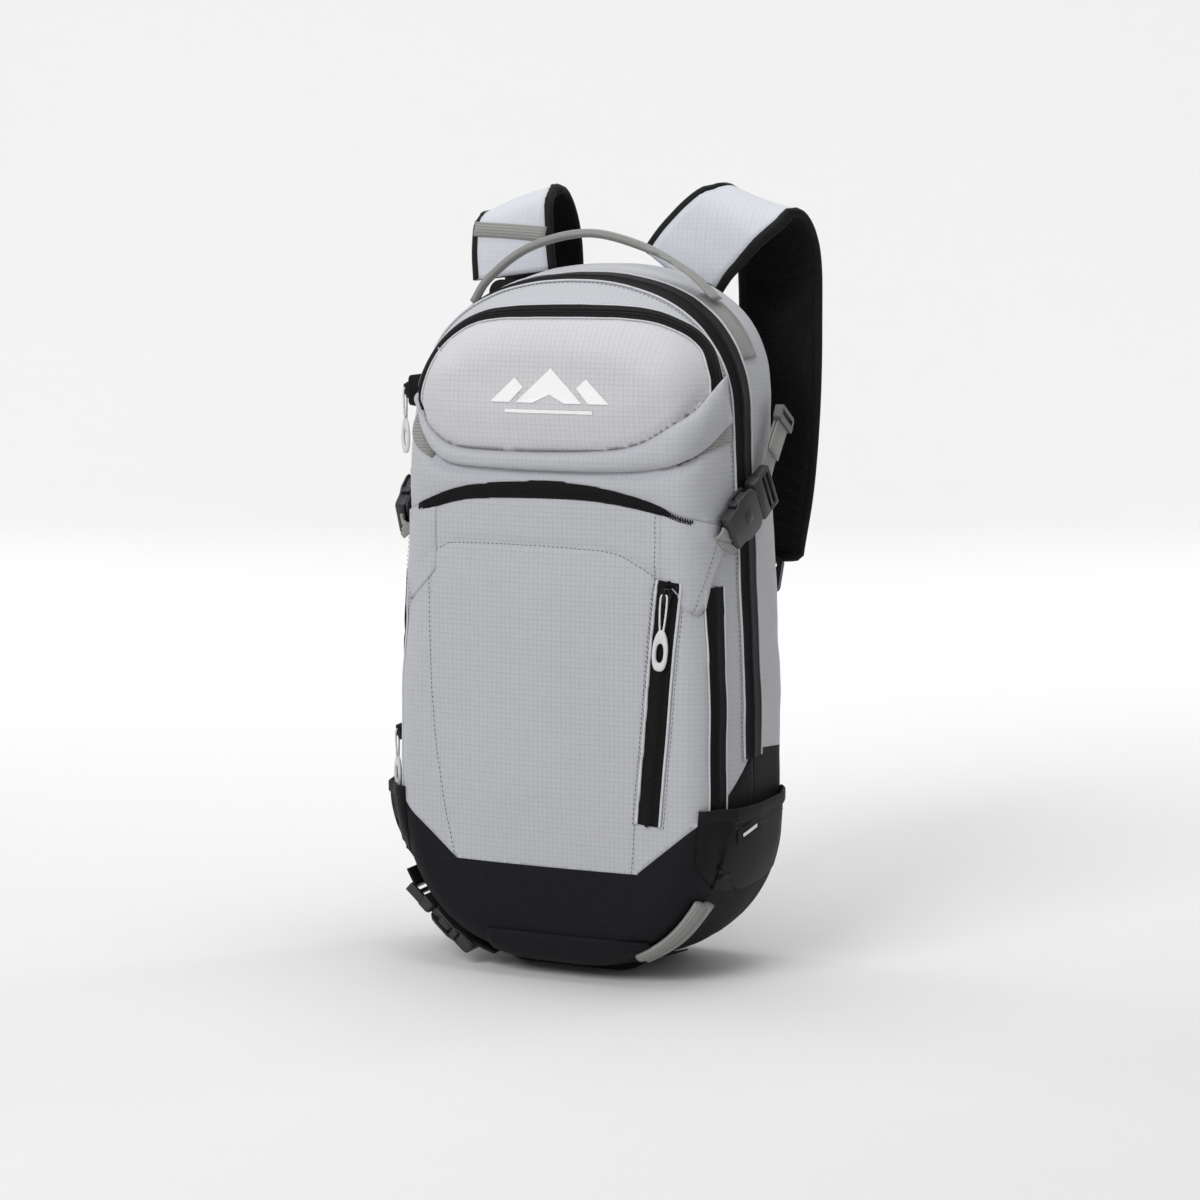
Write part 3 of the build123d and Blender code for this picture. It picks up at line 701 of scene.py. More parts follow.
def seam_height(x, y):
    """Height of the dark base cloth's top edge round the bag."""
    if y < COVER_EDGE:
        return SEAM_FRONT + (SEAM_CORNER - SEAM_FRONT) * max(0.0, (abs(x) - 70) / 48)
    if y < MAIN_ZIP:
        share = (y - COVER_EDGE) / (MAIN_ZIP - COVER_EDGE)
        return SEAM_CORNER + 2 + (SEAM_ZIP - SEAM_CORNER - 2) * share
    return SEAM_ZIP + (SEAM_BACK - SEAM_ZIP) * (y - MAIN_ZIP) / (BACK - MAIN_ZIP)


def height_on(curve, x):
    """Height of a line on the front at one place across."""
    return float(np.interp(x, curve[:, 0], curve[:, 1]))


def panel_of(centre, normal):
    """Name of the panel that a face of the surface belongs to."""
    x, y, z = centre
    dark = z < seam_height(x, y) or (y > BACK - 2 and normal.y > 0.8)
    if y > MAIN_ZIP or z < FOLD:
        return "base_cloth" if dark else "back_shell_cloth"
    if y < COVER_EDGE and z < height_on(cover_top, x):
        return "cover_corner_cloth" if dark else "pocket_cover_cloth"
    if dark:
        return "gusset_corner_cloth"
    if y < FRONT + 40 and abs(x) < 116 and height_on(smile_top, x) < z < height_on(goggle_arc, x):
        return "goggle_cloth"
    return "main_panel_cloth"


PANELS = {
    "base_cloth": ("pack", "dark_fabric", dark_cloth),
    "back_shell_cloth": ("pack", "light_fabric", light_cloth),
    "cover_corner_cloth": ("pocket_flap", "dark_fabric", dark_cloth),
    "pocket_cover_cloth": ("pocket_flap", "light_fabric", light_cloth),
    "gusset_corner_cloth": ("main_flap", "dark_fabric", dark_cloth),
    "goggle_cloth": ("main_flap", "panel_fabric", panel_cloth),
    "main_panel_cloth": ("main_flap", "panel_fabric", light_cloth),
}


def cut_panels():
    """Cuts the surface along the zips and the fold line, and makes each panel a piece."""
    work = surface.copy()
    for place, normal in (((0, MAIN_ZIP, 0), (0, 1, 0)), ((0, COVER_EDGE, 0), (0, 1, 0)),
                          ((0, 0, FOLD), (0, 0, 1))):
        geometry = work.verts[:] + work.edges[:] + work.faces[:]
        bmesh.ops.bisect_plane(work, geom=geometry, plane_co=place, plane_no=normal)
    work.verts.index_update()
    work.normal_update()
    members = {name: [] for name in PANELS}
    for face in work.faces:
        members[panel_of(face.calc_center_median(), face.normal)].append(face)
    owner = {f: name for name, faces in members.items() for f in faces}
    place = {}
    for v in work.verts:
        names = {owner[f] for f in v.link_faces}
        co = v.co.copy()
        x, y, z = co
        if len(names) > 1:
            seam = seam_height(x, y)
            beside_dark = any("corner" in n or n == "base_cloth" for n in names)
            if abs(z - seam) < 5 and beside_dark and z > FOLD + 0.5:
                co.z = seam
            elif y < COVER_EDGE - 0.5 and abs(z - height_on(cover_top,
                                                            x)) < 5 and "pocket_cover_cloth" in names:
                co.z = height_on(cover_top, x)
            elif "goggle_cloth" in names:
                tops = (height_on(smile_top, x), height_on(goggle_arc, x))
                best = min(tops, key=lambda t: abs(t - z))
                if abs(best - z) < 4:
                    co.z = best
        place[v] = co
    for name, faces in members.items():
        body, slot, material = PANELS[name]
        index, verts = {}, []
        quads = []
        for f in faces:
            for v in f.verts:
                if v not in index:
                    index[v] = len(verts)
                    verts.append(place[v])
            quads.append([index[v] for v in f.verts])
        piece = add_piece(name, verts, quads, material, body)
        piece.data.materials.append(lining_cloth)
        thick = thicken(piece, 1.2)
        thick.modifiers["thickness"].material_offset = 1
        thick.modifiers["thickness"].material_offset_rim = 0
    work.free()


cut_panels()
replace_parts(bpy.data.objects["back_shell_cloth"], "pack_shell")
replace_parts(bpy.data.objects["main_panel_cloth"], "main_panel")
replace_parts(bpy.data.objects["goggle_cloth"], "goggle_pocket", "goggle_lining")
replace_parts(bpy.data.objects["pocket_cover_cloth"], "pocket_cover")

# ------------------------------------------------------------------ zips


def zip_line(name, path, bodies, half, across, piping=0.0, ends=None, nodes=(), stitched=True, lift=0.0):
    """A whole zip on the bag: two tapes with coils, and the cloth rolled over each outer edge."""
    for side, body in zip((1, -1), bodies):
        tag = "upper" if side > 0 else "lower"
        tape = [(side * 0.35, 0.2), (side * half, 0.2), (side * half, 0.7), (side * (half - 1.4), 1.0),
                (side * 2.3, 1.0), (side * 1.9, 1.5), (side * 0.35, 1.4)]
        made = lay(f"{name}_tape_{tag}", path, tape, tape_cloth, body, across, ends, lift)
        if nodes:
            node = nodes[0] if side > 0 else nodes[-1]
            if node:
                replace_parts(made, node)
        teeth(f"{name}_coil_{tag}", path, body, side, across)
        if piping:
            lay(f"{name}_piping_{tag}", path, roll(side * (half + piping * 0.6), piping), pale_piping, body,
                across, ends)
            if stitched:
                stitch(f"{name}_stitches_{tag}", path, dark_thread, body, across, side * (half + 3.2))


def outline_path(y, z_right, z_left, step=3.0):
    """A line on the bag at one depth, up the right side, over the top and down the left."""
    loop = bag_outline(FRONT_CORNER)
    middle = [p for p in loop if p[1] > 200]
    line = [(HALF, z_right)] + [tuple(p) for p in middle] + [(-HALF, z_left)]
    line = even(line, step)
    return [nearest((x, y, z + 4 * (z > 440)))[0] for x, z in line]


OUT_Y = (0, 1, 0)
main_path = outline_path(MAIN_ZIP - 0.3, 160, 140)
zip_line("main_zip", main_path, ("pack", "main_flap"), 13.5, OUT_Y, piping=0.9,
         nodes=("main_zip_back_tape", "main_zip_front_tape"))

goggle_path = wrap_path(GOGGLE_ARC)
GOGGLE_CENTRE = Vector((0, FRONT, 400))
zip_line("goggle_zip", goggle_path, ("main_flap", "main_flap"), 6.2, lambda p: p - GOGGLE_CENTRE, piping=0.7,
         ends=lambda share: 0.75 + 0.35 * share, nodes=("goggle_zip_tape",), stitched=False, lift=0.7)

crescent_path = [p for p in wrap_path([q for q in COVER_TOP if -101 < q[0] < 109])]


def crescent(share):
    """Width of the front pocket zip's visible tape along its arc."""
    return 0.12 + 0.88 * math.sin(math.pi * min(1.0, share * 1.05 + 0.02)) ** 0.4


zip_line("pocket_zip_top", crescent_path, ("main_flap", "pocket_flap"), 6.4, (0, 0, 1), ends=crescent,
         nodes=("pocket_zip_back_tape", "pocket_zip_front_tape"))
for way, tag in ((-1, "left"), (1, "right")):
    corner = [nearest((way * (HALF - 8), COVER_EDGE + 4, z))[0] for z in np.linspace(126, 285, 55)]
    zip_line(f"pocket_zip_{tag}", corner, ("main_flap", "pocket_flap"), 8.5, OUT_Y, piping=0.7,
             stitched=False)

chest_top = node_box("chest_zip_tape")
CHEST_LENGTH = 172
chest_middle = ((chest_top[0].x + chest_top[1].x) / 2, (chest_top[0].z + chest_top[1].z) / 2)


def on_chest(rise, aside=0.0):
    """(across, height) at a place on the short front zip."""
    return (chest_middle[0] + rise * math.sin(PULL_TILT) + aside * math.cos(PULL_TILT),
            chest_middle[1] + rise * math.cos(PULL_TILT) - aside * math.sin(PULL_TILT))


chest_path = wrap_path([on_chest(-CHEST_LENGTH / 2), on_chest(0), on_chest(CHEST_LENGTH / 2)])
zip_line("chest_zip", chest_path, ("pocket_flap", "pocket_flap"), 8.2, (1, 0, 0), piping=1.0,
         nodes=("chest_zip_tape",))

# ------------------------------------------------------------------ seams, stitches and folds

for name, points, body in (("arch", ARCH, "pocket_flap"), ("left_panel", LEFT_STITCH, "pocket_flap"),
                           ("right_panel", RIGHT_SEAM, "pocket_flap"), ("wing", WING_STITCH, "pocket_flap")):
    stitch(f"{name}_seam_stitches", wrap_path(points), dark_thread, body, across=(1, 0, 1), offset=-1.8)



def smile_swell(u, v):
    """Height of the folded band over the goggle pocket's lower edge."""
    fold = math.sin(math.pi * min(max(v, 0.0), 1.0)) ** 0.7 if 0 < v < 1 else 0.0
    lift = 0.6 + 1.9 * float(smooth(0.76, 0.86, u))
    return lift + 4.6 * fold * (0.25 + 0.75 * math.sin(math.pi * min(1.0, 0.08 + 0.92 * u)) ** 0.5)


patch("smile_band", SMILE_TOP, SMILE_BASE, light_cloth, "main_flap", "panel_fabric", smile_swell, rows=16)
patch("smile_webbing_right", SMILE_BASE[7:], SMILE_CREASE, webbing_cloth, "main_flap", "webbing",
      lambda u, v: 1.2, rows=8)
patch("smile_webbing_left", [(-106, 400), (-98, 385), (-88, 372)], [(-112, 388), (-101, 376), (-90, 369)],
      webbing_cloth, "main_flap", "webbing", lambda u, v: 1.0, rows=6)

# The cover's wings reach round the corners to the compression straps
WING_TOP = [(86, 340), (104, 334), (114, 330), (120, 326)]
WING_BASE = [(86, 290), (111, 266), (117, 288), (121, 313)]
for way, tag in ((-1, "left"), (1, "right")):
    wing = patch(f"wing_cloth_{tag}", [(way * w, z) for w, z in WING_TOP],
                 [(way * w, z) for w, z in WING_BASE],
                 light_cloth, "pocket_flap", "light_fabric",
                 lambda u, v: 0.5 + 1.3 * u, rows=16, step=3.0, thickness=0.9)
    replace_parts(wing, f"cover_wing_{tag}")
    stitch(f"wing_edge_stitches_{tag}", wrap_path([(way * (w - 3), z + 2) for w, z in WING_BASE[1:]]),
           dark_thread, "pocket_flap", across=(1, 0, 0), height=1.8)

# ------------------------------------------------------------------ webbing and padded straps


def directions(points):
    """Unit tangents along a line of points."""
    found = []
    for i in range(len(points)):
        found.append((points[min(i + 1, len(points) - 1)] - points[max(i - 1, 0)]).normalized())
    return found


def sweep(name, points, across, section, material, body, caps=True):
    """A closed section carried along free points.

    across gives the section's first axis, or gives it for a share of the line, and its second is
    across x tangent. section(share) lists corners.
    """
    points = [Vector(p) for p in points]
    verts, strip, run = [], [], 0.0
    for i, (p, tangent) in enumerate(zip(points, directions(points))):
        if i:
            run += (p - points[i - 1]).length
        share = i / (len(points) - 1)
        hint = across(share) if callable(across) else Vector(across)
        side = (hint - tangent * tangent.dot(hint)).normalized()
        out = side.cross(tangent)
        corners = section(share)
        for a, h in corners:
            verts.append(p + side * a + out * h)
            strip.append((run, a, 0))
    n = len(corners)
    faces = [(i * n + k, i * n + (k + 1) % n, (i + 1) * n + (k + 1) % n, (i + 1) * n + k)
             for i in range(len(points) - 1) for k in range(n)]
    if caps:
        faces.append(range(n))
        faces.append([(len(points) - 1) * n + k for k in reversed(range(n))])
    return turn_out(add_piece(name, verts, faces, material, body, strip))


def flat_section(width, thickness, edge=0.5):
    """Corners of flat webbing with slightly rounded edges."""
    a, h = width / 2, thickness / 2
    return [(-a, -h + edge), (-a + edge, -h), (a - edge, -h), (a, -h + edge), (a, h - edge), (a - edge, h),
            (-a + edge, h), (-a, h - edge)]


def oval(width, depth, count=12, shift=0.0):
    """Corners of an oval section."""
    turns = [2 * math.pi * k / count for k in range(count)]
    return [(width / 2 * math.cos(t), depth / 2 * math.sin(t) + shift) for t in turns]


def strap_width(share):
    """Width of a shoulder strap at a share of its length."""
    return 62 - 8 * share


def face_section(share):
    """The strap's outer cloth: a slightly crowned slab."""
    half = strap_width(share) / 2 - 1.5
    top = [(a, 3.6 + 1.6 * math.cos(a / half * math.pi / 2)) for a in np.linspace(-half, half, 11)]
    return top + [(a, 1.6) for a in np.linspace(half, -half, 5)]


def pad_section(share):
    """The strap's inner mesh pad, crowned the other way."""
    half = strap_width(share) / 2 - 1.0
    low = [(a, -3.4 - 2.2 * math.cos(a / half * math.pi / 2) ** 0.8) for a in np.linspace(-half, half, 11)]
    return low + [(a, 1.4) for a in np.linspace(half, -half, 5)]


STRAP_ROOTS = {
    "left": [(-92, 63, 494), (-95, 66, 518), (-97, 75, 541), (-97, 98, 546)],
    "right": [(40, 63, 494), (56, 66, 516), (78, 75, 538), (92, 98, 545)],
}
STRAP_RUN = [(96, 118, 516), (96, 125, 460), (96, 125, 400), (95, 118, 340), (93, 104, 292)]
STRAP_ROLL = math.radians(20)  # how far a strap leans outwards on the shoulder


def strap_part(name, points, across, section, material):
    """A swept piece of a shoulder strap, along a line that curves over where the strap meets the pack."""
    made = sweep(name, points, across, section, material, None)
    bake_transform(made)
    return made


for way, tag in ((-1, "left"), (1, "right")):
    line = STRAP_ROOTS[tag] + [(way * x, y, z) for x, y, z in STRAP_RUN]
    line = [Vector(p) for p in catmull(line, 4)]
    last = len(line) - 1

    def across(share):
        lean = STRAP_ROLL * math.sin(math.pi * min(1.0, share / 0.42)) ** 0.8
        return Vector((math.cos(lean), 0, -way * math.sin(lean)))

    def beside(i, sideways, outwards):
        """A place beside the strap's middle line, given in the strap's own directions."""
        tangent = directions(line)[i]
        side = (across(i / last) - tangent * tangent.dot(across(i / last))).normalized()
        return line[i] + side * sideways + side.cross(tangent) * outwards

    face = strap_part(f"strap_face_{tag}", line, across, face_section, strap_cloth)
    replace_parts(face, f"shoulder_strap_{tag}")
    strap_part(f"strap_pad_{tag}", line, across, pad_section, mesh_cloth)
    # Rolled binding down one edge, round the lower end and up the other
    edges = [[beside(i, sign * (strap_width(i / last) / 2 - 0.8),
                     0.3) for i in range(last + 1)] for sign in (-1, 1)]
    end_run = directions(line)[-1]
    turn = [edges[0][-1].lerp(edges[1][-1], 0.5 - 0.5 * math.cos(t)) + end_run * (3 * math.sin(t))
            for t in np.linspace(0, math.pi, 12)[1:-1]]
    strap_part(f"strap_binding_{tag}", edges[0] + turn + edges[1][::-1], (0.2, 0.9, 0.35),
               lambda t: oval(7.0, 9.6, 10), binding_cloth)
    if way < 0:
        level = int(last * 0.10)
        band = [beside(level, a, 5.9 - 1.2 * (a / 30) ** 2) + directions(line)[level] * (0.16 * a * way)
                for a in np.linspace(-30, 30, 14)]
        strap_part("strap_cross_web", band, directions(line)[level], lambda t: flat_section(11, 1.4),
                   webbing_cloth)
    long_run = [beside(i, 0, 6.0) for i in range(int(last * 0.34), last + 1)]
    strap_part(f"strap_long_web_{tag}", long_run, (1, 0, 0), lambda t: flat_section(20, 1.5), webbing_cloth)

# ------------------------------------------------------------------ haul handle

HANDLE_Y = 4


def handle_section(share):
    """Folded webbing that opens out flat towards the right end."""
    open_out = float(smooth(0.68, 0.9, share))
    return oval(7.0 + 13 * open_out, 6.4 - 4.6 * open_out, 14)


handle_line = catmull([(-97, HANDLE_Y, 476), (-84, HANDLE_Y, 494), (-52, HANDLE_Y, 516),
                       (-6, HANDLE_Y, 526.5),
                       (38, HANDLE_Y, 517), (72, HANDLE_Y, 500), (94, HANDLE_Y, 481)], 3)
grip = sweep("haul_handle_web", handle_line, (0, 1, 0), handle_section, webbing_cloth, "handle")
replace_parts(grip, "haul_handle")
for way, tag in ((-1, "left"), (1, "right")):
    crown = [p for p in bag_outline(FRONT_CORNER) if way * p[0] > 78 and p[1] > 436]
    crown = crown if way * crown[0][0] > way * crown[-1][0] else crown[::-1]
    tail = [nearest((x, HANDLE_Y + 3, z + 3))[0] for x, z in even(crown, 3)]
    made = lay(f"handle_tail_{tag}", tail, [(-10, 0.3), (10, 0.3), (10, 1.9), (-10, 1.9)], webbing_cloth,
               "pack", OUT_Y)
    for row, offset in (("", 6), ("_b", -6)):
        stitch(f"handle_tack{row}_{tag}", tail[4:12], light_thread, "pack", OUT_Y, offset=offset, height=2.0)
    if way > 0:
        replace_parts(made, "handle_patches")

# ------------------------------------------------------------------ side pockets, sleeve and tag

POUCH_TOP = 129
POUCH_SPAN = (114, 226)  # across, round the bag's side
MOUTH_SAG = 1.5
FULLNESS = {-1: 11.5, 1: 7.5}  # the left pouch is fuller than the right one


def pouch_swell(u, v, way=1):
    """How far a side pouch stands out, along its mouth and down from it."""
    edge = min(1.0, 6 * u, 5 * (1 - u))
    return 0.8 + FULLNESS[way] * max(edge, 0.0) ** 0.7 * (1 - v**3) * (0.75 + 0.25 * math.cos(v * 3))


def pouch_line(way, drop, extra, ends=(0.0, 1.0)):
    """A line along a pouch's mouth, some way below its edge and above its cloth."""
    found = []
    for u in np.linspace(*ends, 60):
        w = POUCH_SPAN[0] + (POUCH_SPAN[1] - POUCH_SPAN[0]) * u
        z = POUCH_TOP - MOUTH_SAG * math.sin(math.pi * u) - drop
        found.append(wrap(way * w, z, pouch_swell(u, drop / 65, way) + extra))
    return found


for way, tag in ((-1, "left"), (1, "right")):
    first, last_across = POUCH_SPAN
    top = [(way * w, POUCH_TOP - MOUTH_SAG * math.sin(math.pi * (w - first) / (last_across - first)))
           for w in (first, 140, 170, 200, last_across)]
    low = [(way * 112, 92), (way * 121, 66), (way * 150, 60), (way * 200, 64), (way * 226, 70)]
    pouch = patch(f"side_pouch_{tag}", top, low, pouch_cloth, "pack", "dark_fabric",
                  lambda u, v: pouch_swell(u, v, way), rows=22, step=3.0, thickness=1.4)
    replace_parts(pouch, f"side_pocket_{tag}")
    sweep(f"pouch_hem_{tag}", pouch_line(way, 3, 0.2), (0, 0, 1), lambda t: flat_section(9, 2.6, 1.0),
          binding_cloth, "pack")
    for drop in (8.5, 13):
        stitch(f"pouch_stitches_{tag}_{int(drop)}", pouch_line(way, drop, 0, (0.12, 0.88)), dark_thread,
               "pack", height=lambda t: pouch_swell(0.12 + 0.76 * t, drop / 65, way) + 0.05)

sleeve = patch("base_sleeve", [(w, 34) for w in (-46, -10, 30, 75)], [(w, 12) for w in (-44, -10, 30, 73)],
               dark_cloth, "pack", "dark_fabric", lambda u, v: 2.6, rows=8, step=4)
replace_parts(sleeve, "lower_sleeve")


def base_run(points):
    """A line over the base's front corner, given by x and z at the depth of the lower strap."""
    return [nearest((x, -64, z))[0] for x, z in catmull(points, 3)]


right_run = base_run([(70, 12), (88, 22), (106, 38), (119, 58)])
for k, shift in enumerate((-5, 5)):
    tube = lay(f"lower_web_right_{k}", right_run, [(a + shift, h + 1.5) for a, h in oval(11, 6.5, 10, 3)],
               webbing_cloth, "pack", OUT_Y)
    if k:
        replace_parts(tube, "lower_web_right")

# ------------------------------------------------------------------ buckles


class Moulding:
    """Gathers prisms of a moulded part, in the part's own frame."""

    def __init__(self):
        self.verts, self.faces = [], []

    def prism(self, outline, low, high, taper=0.0):
        """An outline raised from low to high, drawn in by taper at the top."""
        base = len(self.verts)
        n = len(outline)
        centre = (sum(p[0] for p in outline) / n, sum(p[1] for p in outline) / n)
        for z, pull in ((low, 0.0), (high, taper)):
            for x, y in outline:
                self.verts.append((x + (centre[0] - x) * pull, y + (centre[1] - y) * pull, z))
        self.faces.append([base + k for k in reversed(range(n))])
        self.faces.append([base + n + k for k in range(n)])
        for k in range(n):
            m = (k + 1) % n
            self.faces.append((base + k, base + m, base + n + m, base + n + k))

    def block(self, x, y, z, taper=0.0):
        """A box between the given pairs of limits."""
        self.prism([(x[0], y[0]), (x[1], y[0]), (x[1], y[1]), (x[0], y[1])], z[0], z[1], taper)

    def piece(self, name, seat, material, body, slot, rounding=0.6):
        """The moulding as one piece on its seat, its edges rounded."""
        verts = [seat @ Vector(v) for v in self.verts]
        made = turn_out(add_piece(name, verts, self.faces, material, body))
        return soften(made, rounding)


def seat_at(origin, forward, outward_axis):
    """Frame with +x forward and +z outwards at a place."""
    x, z = Vector(forward).normalized(), Vector(outward_axis).normalized()
    y = z.cross(x)
    made = Matrix((x, y, z)).transposed().to_4x4()
    made.translation = Vector(origin)
    return made


def mirrored(points):
    """An outline closed by its mirror image across x."""
    return points + [(x, -y) for x, y in reversed(points)]


def buckle(tag, seat, bodies, nodes):
    """Side release buckle: a socket with open flanks, and a plug with a guide and two sprung arms."""
    socket = Moulding()
    plate = mirrored([(0, 11), (4, 15.5), (8, 16.5), (21, 16.5), (27, 13.6), (38, 13.2), (40, 11.5)])
    socket.prism(plate, 3.1, 5.0, 0.03)
    socket.prism(plate[::-1], -5.0, -3.1)
    for way in (-1, 1):
        socket.block((20.5, 26), sorted((way * 12.4, way * 15.6)), (-3.3, 3.3))
        socket.block((0.2, 6), sorted((way * 4.5, way * 8.0)), (-3.3, 3.3))
        socket.block((27, 40), sorted((way * 11.6, way * 13.4)), (-3.3, 3.3))
    socket.block((25, 31), (-12.5, 12.5), (-3.3, 3.3))
    socket.block((37, 40), (-12.5, 12.5), (-2.0, 4.2))
    socket.prism(mirrored([(11, 4), (13, 5), (19, 5), (21, 4)]), 4.9, 5.6, 0.2)
    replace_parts(socket.piece(f"{tag}_socket", seat, buckle_plastic, bodies[0], "buckle_plastic", 0.7),
                nodes[0])
    plug = Moulding()
    plug.prism(mirrored([(-12, 15), (-10, 16), (-2, 16), (-0.5, 13.5)]), -4.4, 4.4, 0.04)
    for way in (-1, 1):
        plug.block((-25, -11), sorted((way * 12.2, way * 15.6)), (-3.6, 3.6))
        arm = [(-1, 9.2), (8, 9.6), (14, 10.2), (20, 10.8), (21, 12.5), (18, 15.2), (12, 15.8), (8.5, 15.2),
               (7.5, 12.2), (-1, 12.0)]
        plug.prism([(x, way * y) for x, y in arm][::way], -2.5, 2.5)
    plug.block((-1, 15), (-2.4, 2.4), (-2.4, 2.4), 0.1)
    plug.block((-25, -22), (-13, 13), (-3.6, 3.6))
    plug.block((-18.6, -15.8), (-13, 13), (-1.0, 3.6))
    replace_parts(plug.piece(f"{tag}_plug", seat, buckle_plastic, bodies[1], "buckle_plastic", 0.7), nodes[1])


STRAP_TILT = math.radians(29)
tilt = Vector((0, -math.cos(STRAP_TILT), -math.sin(STRAP_TILT)))
SIDE_LEVEL = HALF - 0.5  # the stuffed cloth lies inside the CAD part's side there
MATE = Vector((0, -19, 340.5))
BUCKLE_TURN = math.radians(9)  # the buckles lean towards the front with the cloth
RING = Vector((0, 31, 396.5))
for way, tag in ((-1, "left"), (1, "right")):
    level = Vector((way * SIDE_LEVEL, 0, 0))
    turn = Matrix.Rotation(-way * BUCKLE_TURN, 3, "Z")
    seat = seat_at(level + MATE, turn @ tilt, turn @ Vector((way, 0, 0)))
    buckle(f"compression_{tag}", seat, ("pocket_flap", f"compression_plug_{tag}"),
           (f"compression_female_{tag}", f"compression_male_{tag}"))
    inset = Vector((-way * 2.0, 0, 0))
    start = level + MATE - tilt * 16
    ring = level + RING + Vector((way * 1.5, 0, 0))
    web = catmull([start, start - tilt * 6 + inset * 0.4, (start + ring) / 2 + inset * 0.3, ring], 3)
    made = sweep(f"compression_strap_{tag}", web, tilt.cross(Vector((1, 0, 0))),
                 lambda t: flat_section(20, 1.6), webbing_cloth, f"compression_plug_{tag}")
    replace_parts(made, f"compression_web_{tag}")
    folded = [Vector(p) + Vector((way * 2.2, 0, 0)) for p in web[len(web) // 2:]]
    sweep(f"compression_fold_{tag}", folded, tilt.cross(Vector((1, 0, 0))), lambda t: flat_section(19, 1.6),
          webbing_cloth, f"compression_plug_{tag}")
    wing_end = wrap(way * 120, 311, 1.4)
    socket_end = level + MATE + turn @ tilt * 37
    wing_web = catmull([socket_end, (socket_end + wing_end) / 2 + Vector((way * 1.5, -1.5, 0)), wing_end], 2)
    made = sweep(f"wing_strap_{tag}", wing_web, turn @ tilt.cross(Vector((1, 0, 0))),
                 lambda t: flat_section(20, 2.0), webbing_cloth, "pocket_flap")
    if way > 0:
        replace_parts(made, "wing_webbing")

BUCKLE_ANGLE = math.radians(48)  # of the lower buckle, round the base's left corner
CORNER_RADIUS = 110
low_run = Vector((math.sin(BUCKLE_ANGLE), 0, -math.cos(BUCKLE_ANGLE)))
low_out = Vector((-math.cos(BUCKLE_ANGLE), 0, -math.sin(BUCKLE_ANGLE)))
corner = Vector((-(HALF - CORNER_RADIUS), -57, BASE + CORNER_RADIUS))
low_seat = seat_at(corner + low_out * 105.5 - low_run * 5, low_run, low_out)
buckle("lower", low_seat, ("pack", "lower_plug"), ("lower_female", "lower_male"))
for name, spread, lift, body, node in (("lower_strap_end", (26, 33), -3.5, "lower_plug", "lower_web_left"),
                                       ("lower_strap_inner", (62, 76), -4.5, "pack", "lower_web_inner")):
    turns = [math.radians(a) for a in np.linspace(*spread, 8)]
    line = [corner + Vector((-math.cos(t), 0, -math.sin(t))) * (CORNER_RADIUS + lift) for t in turns]
    made = sweep(name, line, (0, 1, 0), lambda t: flat_section(22, 2.2), binding_cloth, body)
    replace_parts(made, node)

STERNUM_BOX = node_box("sternum_female")
STERNUM = Vector((0, (STERNUM_BOX[0].y + STERNUM_BOX[1].y) / 2, (STERNUM_BOX[0].z + STERNUM_BOX[1].z) / 2))
buckle("sternum", seat_at(STERNUM, (-1, 0, 0), (0, 1, 0)), ("sternum_strap", "sternum_plug"),
       ("sternum_female", "sternum_male"))
for ends, body, node in (((-104, -38), "sternum_strap", "sternum_web_left"),
                         ((23, 104), "sternum_plug", "sternum_web_right")):
    line = [STERNUM + Vector((x, 0.4 * math.sin(x / 9), 0)) for x in np.linspace(*ends, 24)]
    made = sweep(f"{node}_cloth", line, (0, 0, 1), lambda t: flat_section(20, 1.7), webbing_cloth, body)
    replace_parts(made, node)

# ------------------------------------------------------------------ zip sliders and pulls


def ring_plate(outer, inner, half):
    """Faces of a flat tab with a hole, its edges rounded a little."""
    verts, faces = [], []
    n = len(outer)
    loops = []
    for line, reach, z in ((outer, 0.0, -half * 0.5), (outer, 0.12, -half),
                           (inner, -0.12, -half), (inner, 0, 0), (inner, -0.12, half),
                           (outer, 0.12, half), (outer, 0.0, half * 0.5)):
        middle = (sum(p[0] for p in outer) / n, sum(p[1] for p in outer) / n)
        loops.append([(x + (middle[0] - x) * reach, y + (middle[1] - y) * reach, z) for x, y in line])
    for loop in loops:
        verts += loop
    for a in range(len(loops)):
        b = (a + 1) % len(loops)
        for k in range(n):
            m = (k + 1) % n
            faces.append((a * n + k, a * n + m, b * n + m, b * n + k))
    return verts, faces


PIN_OUT = 5.2  # of the pull's pin above the zip


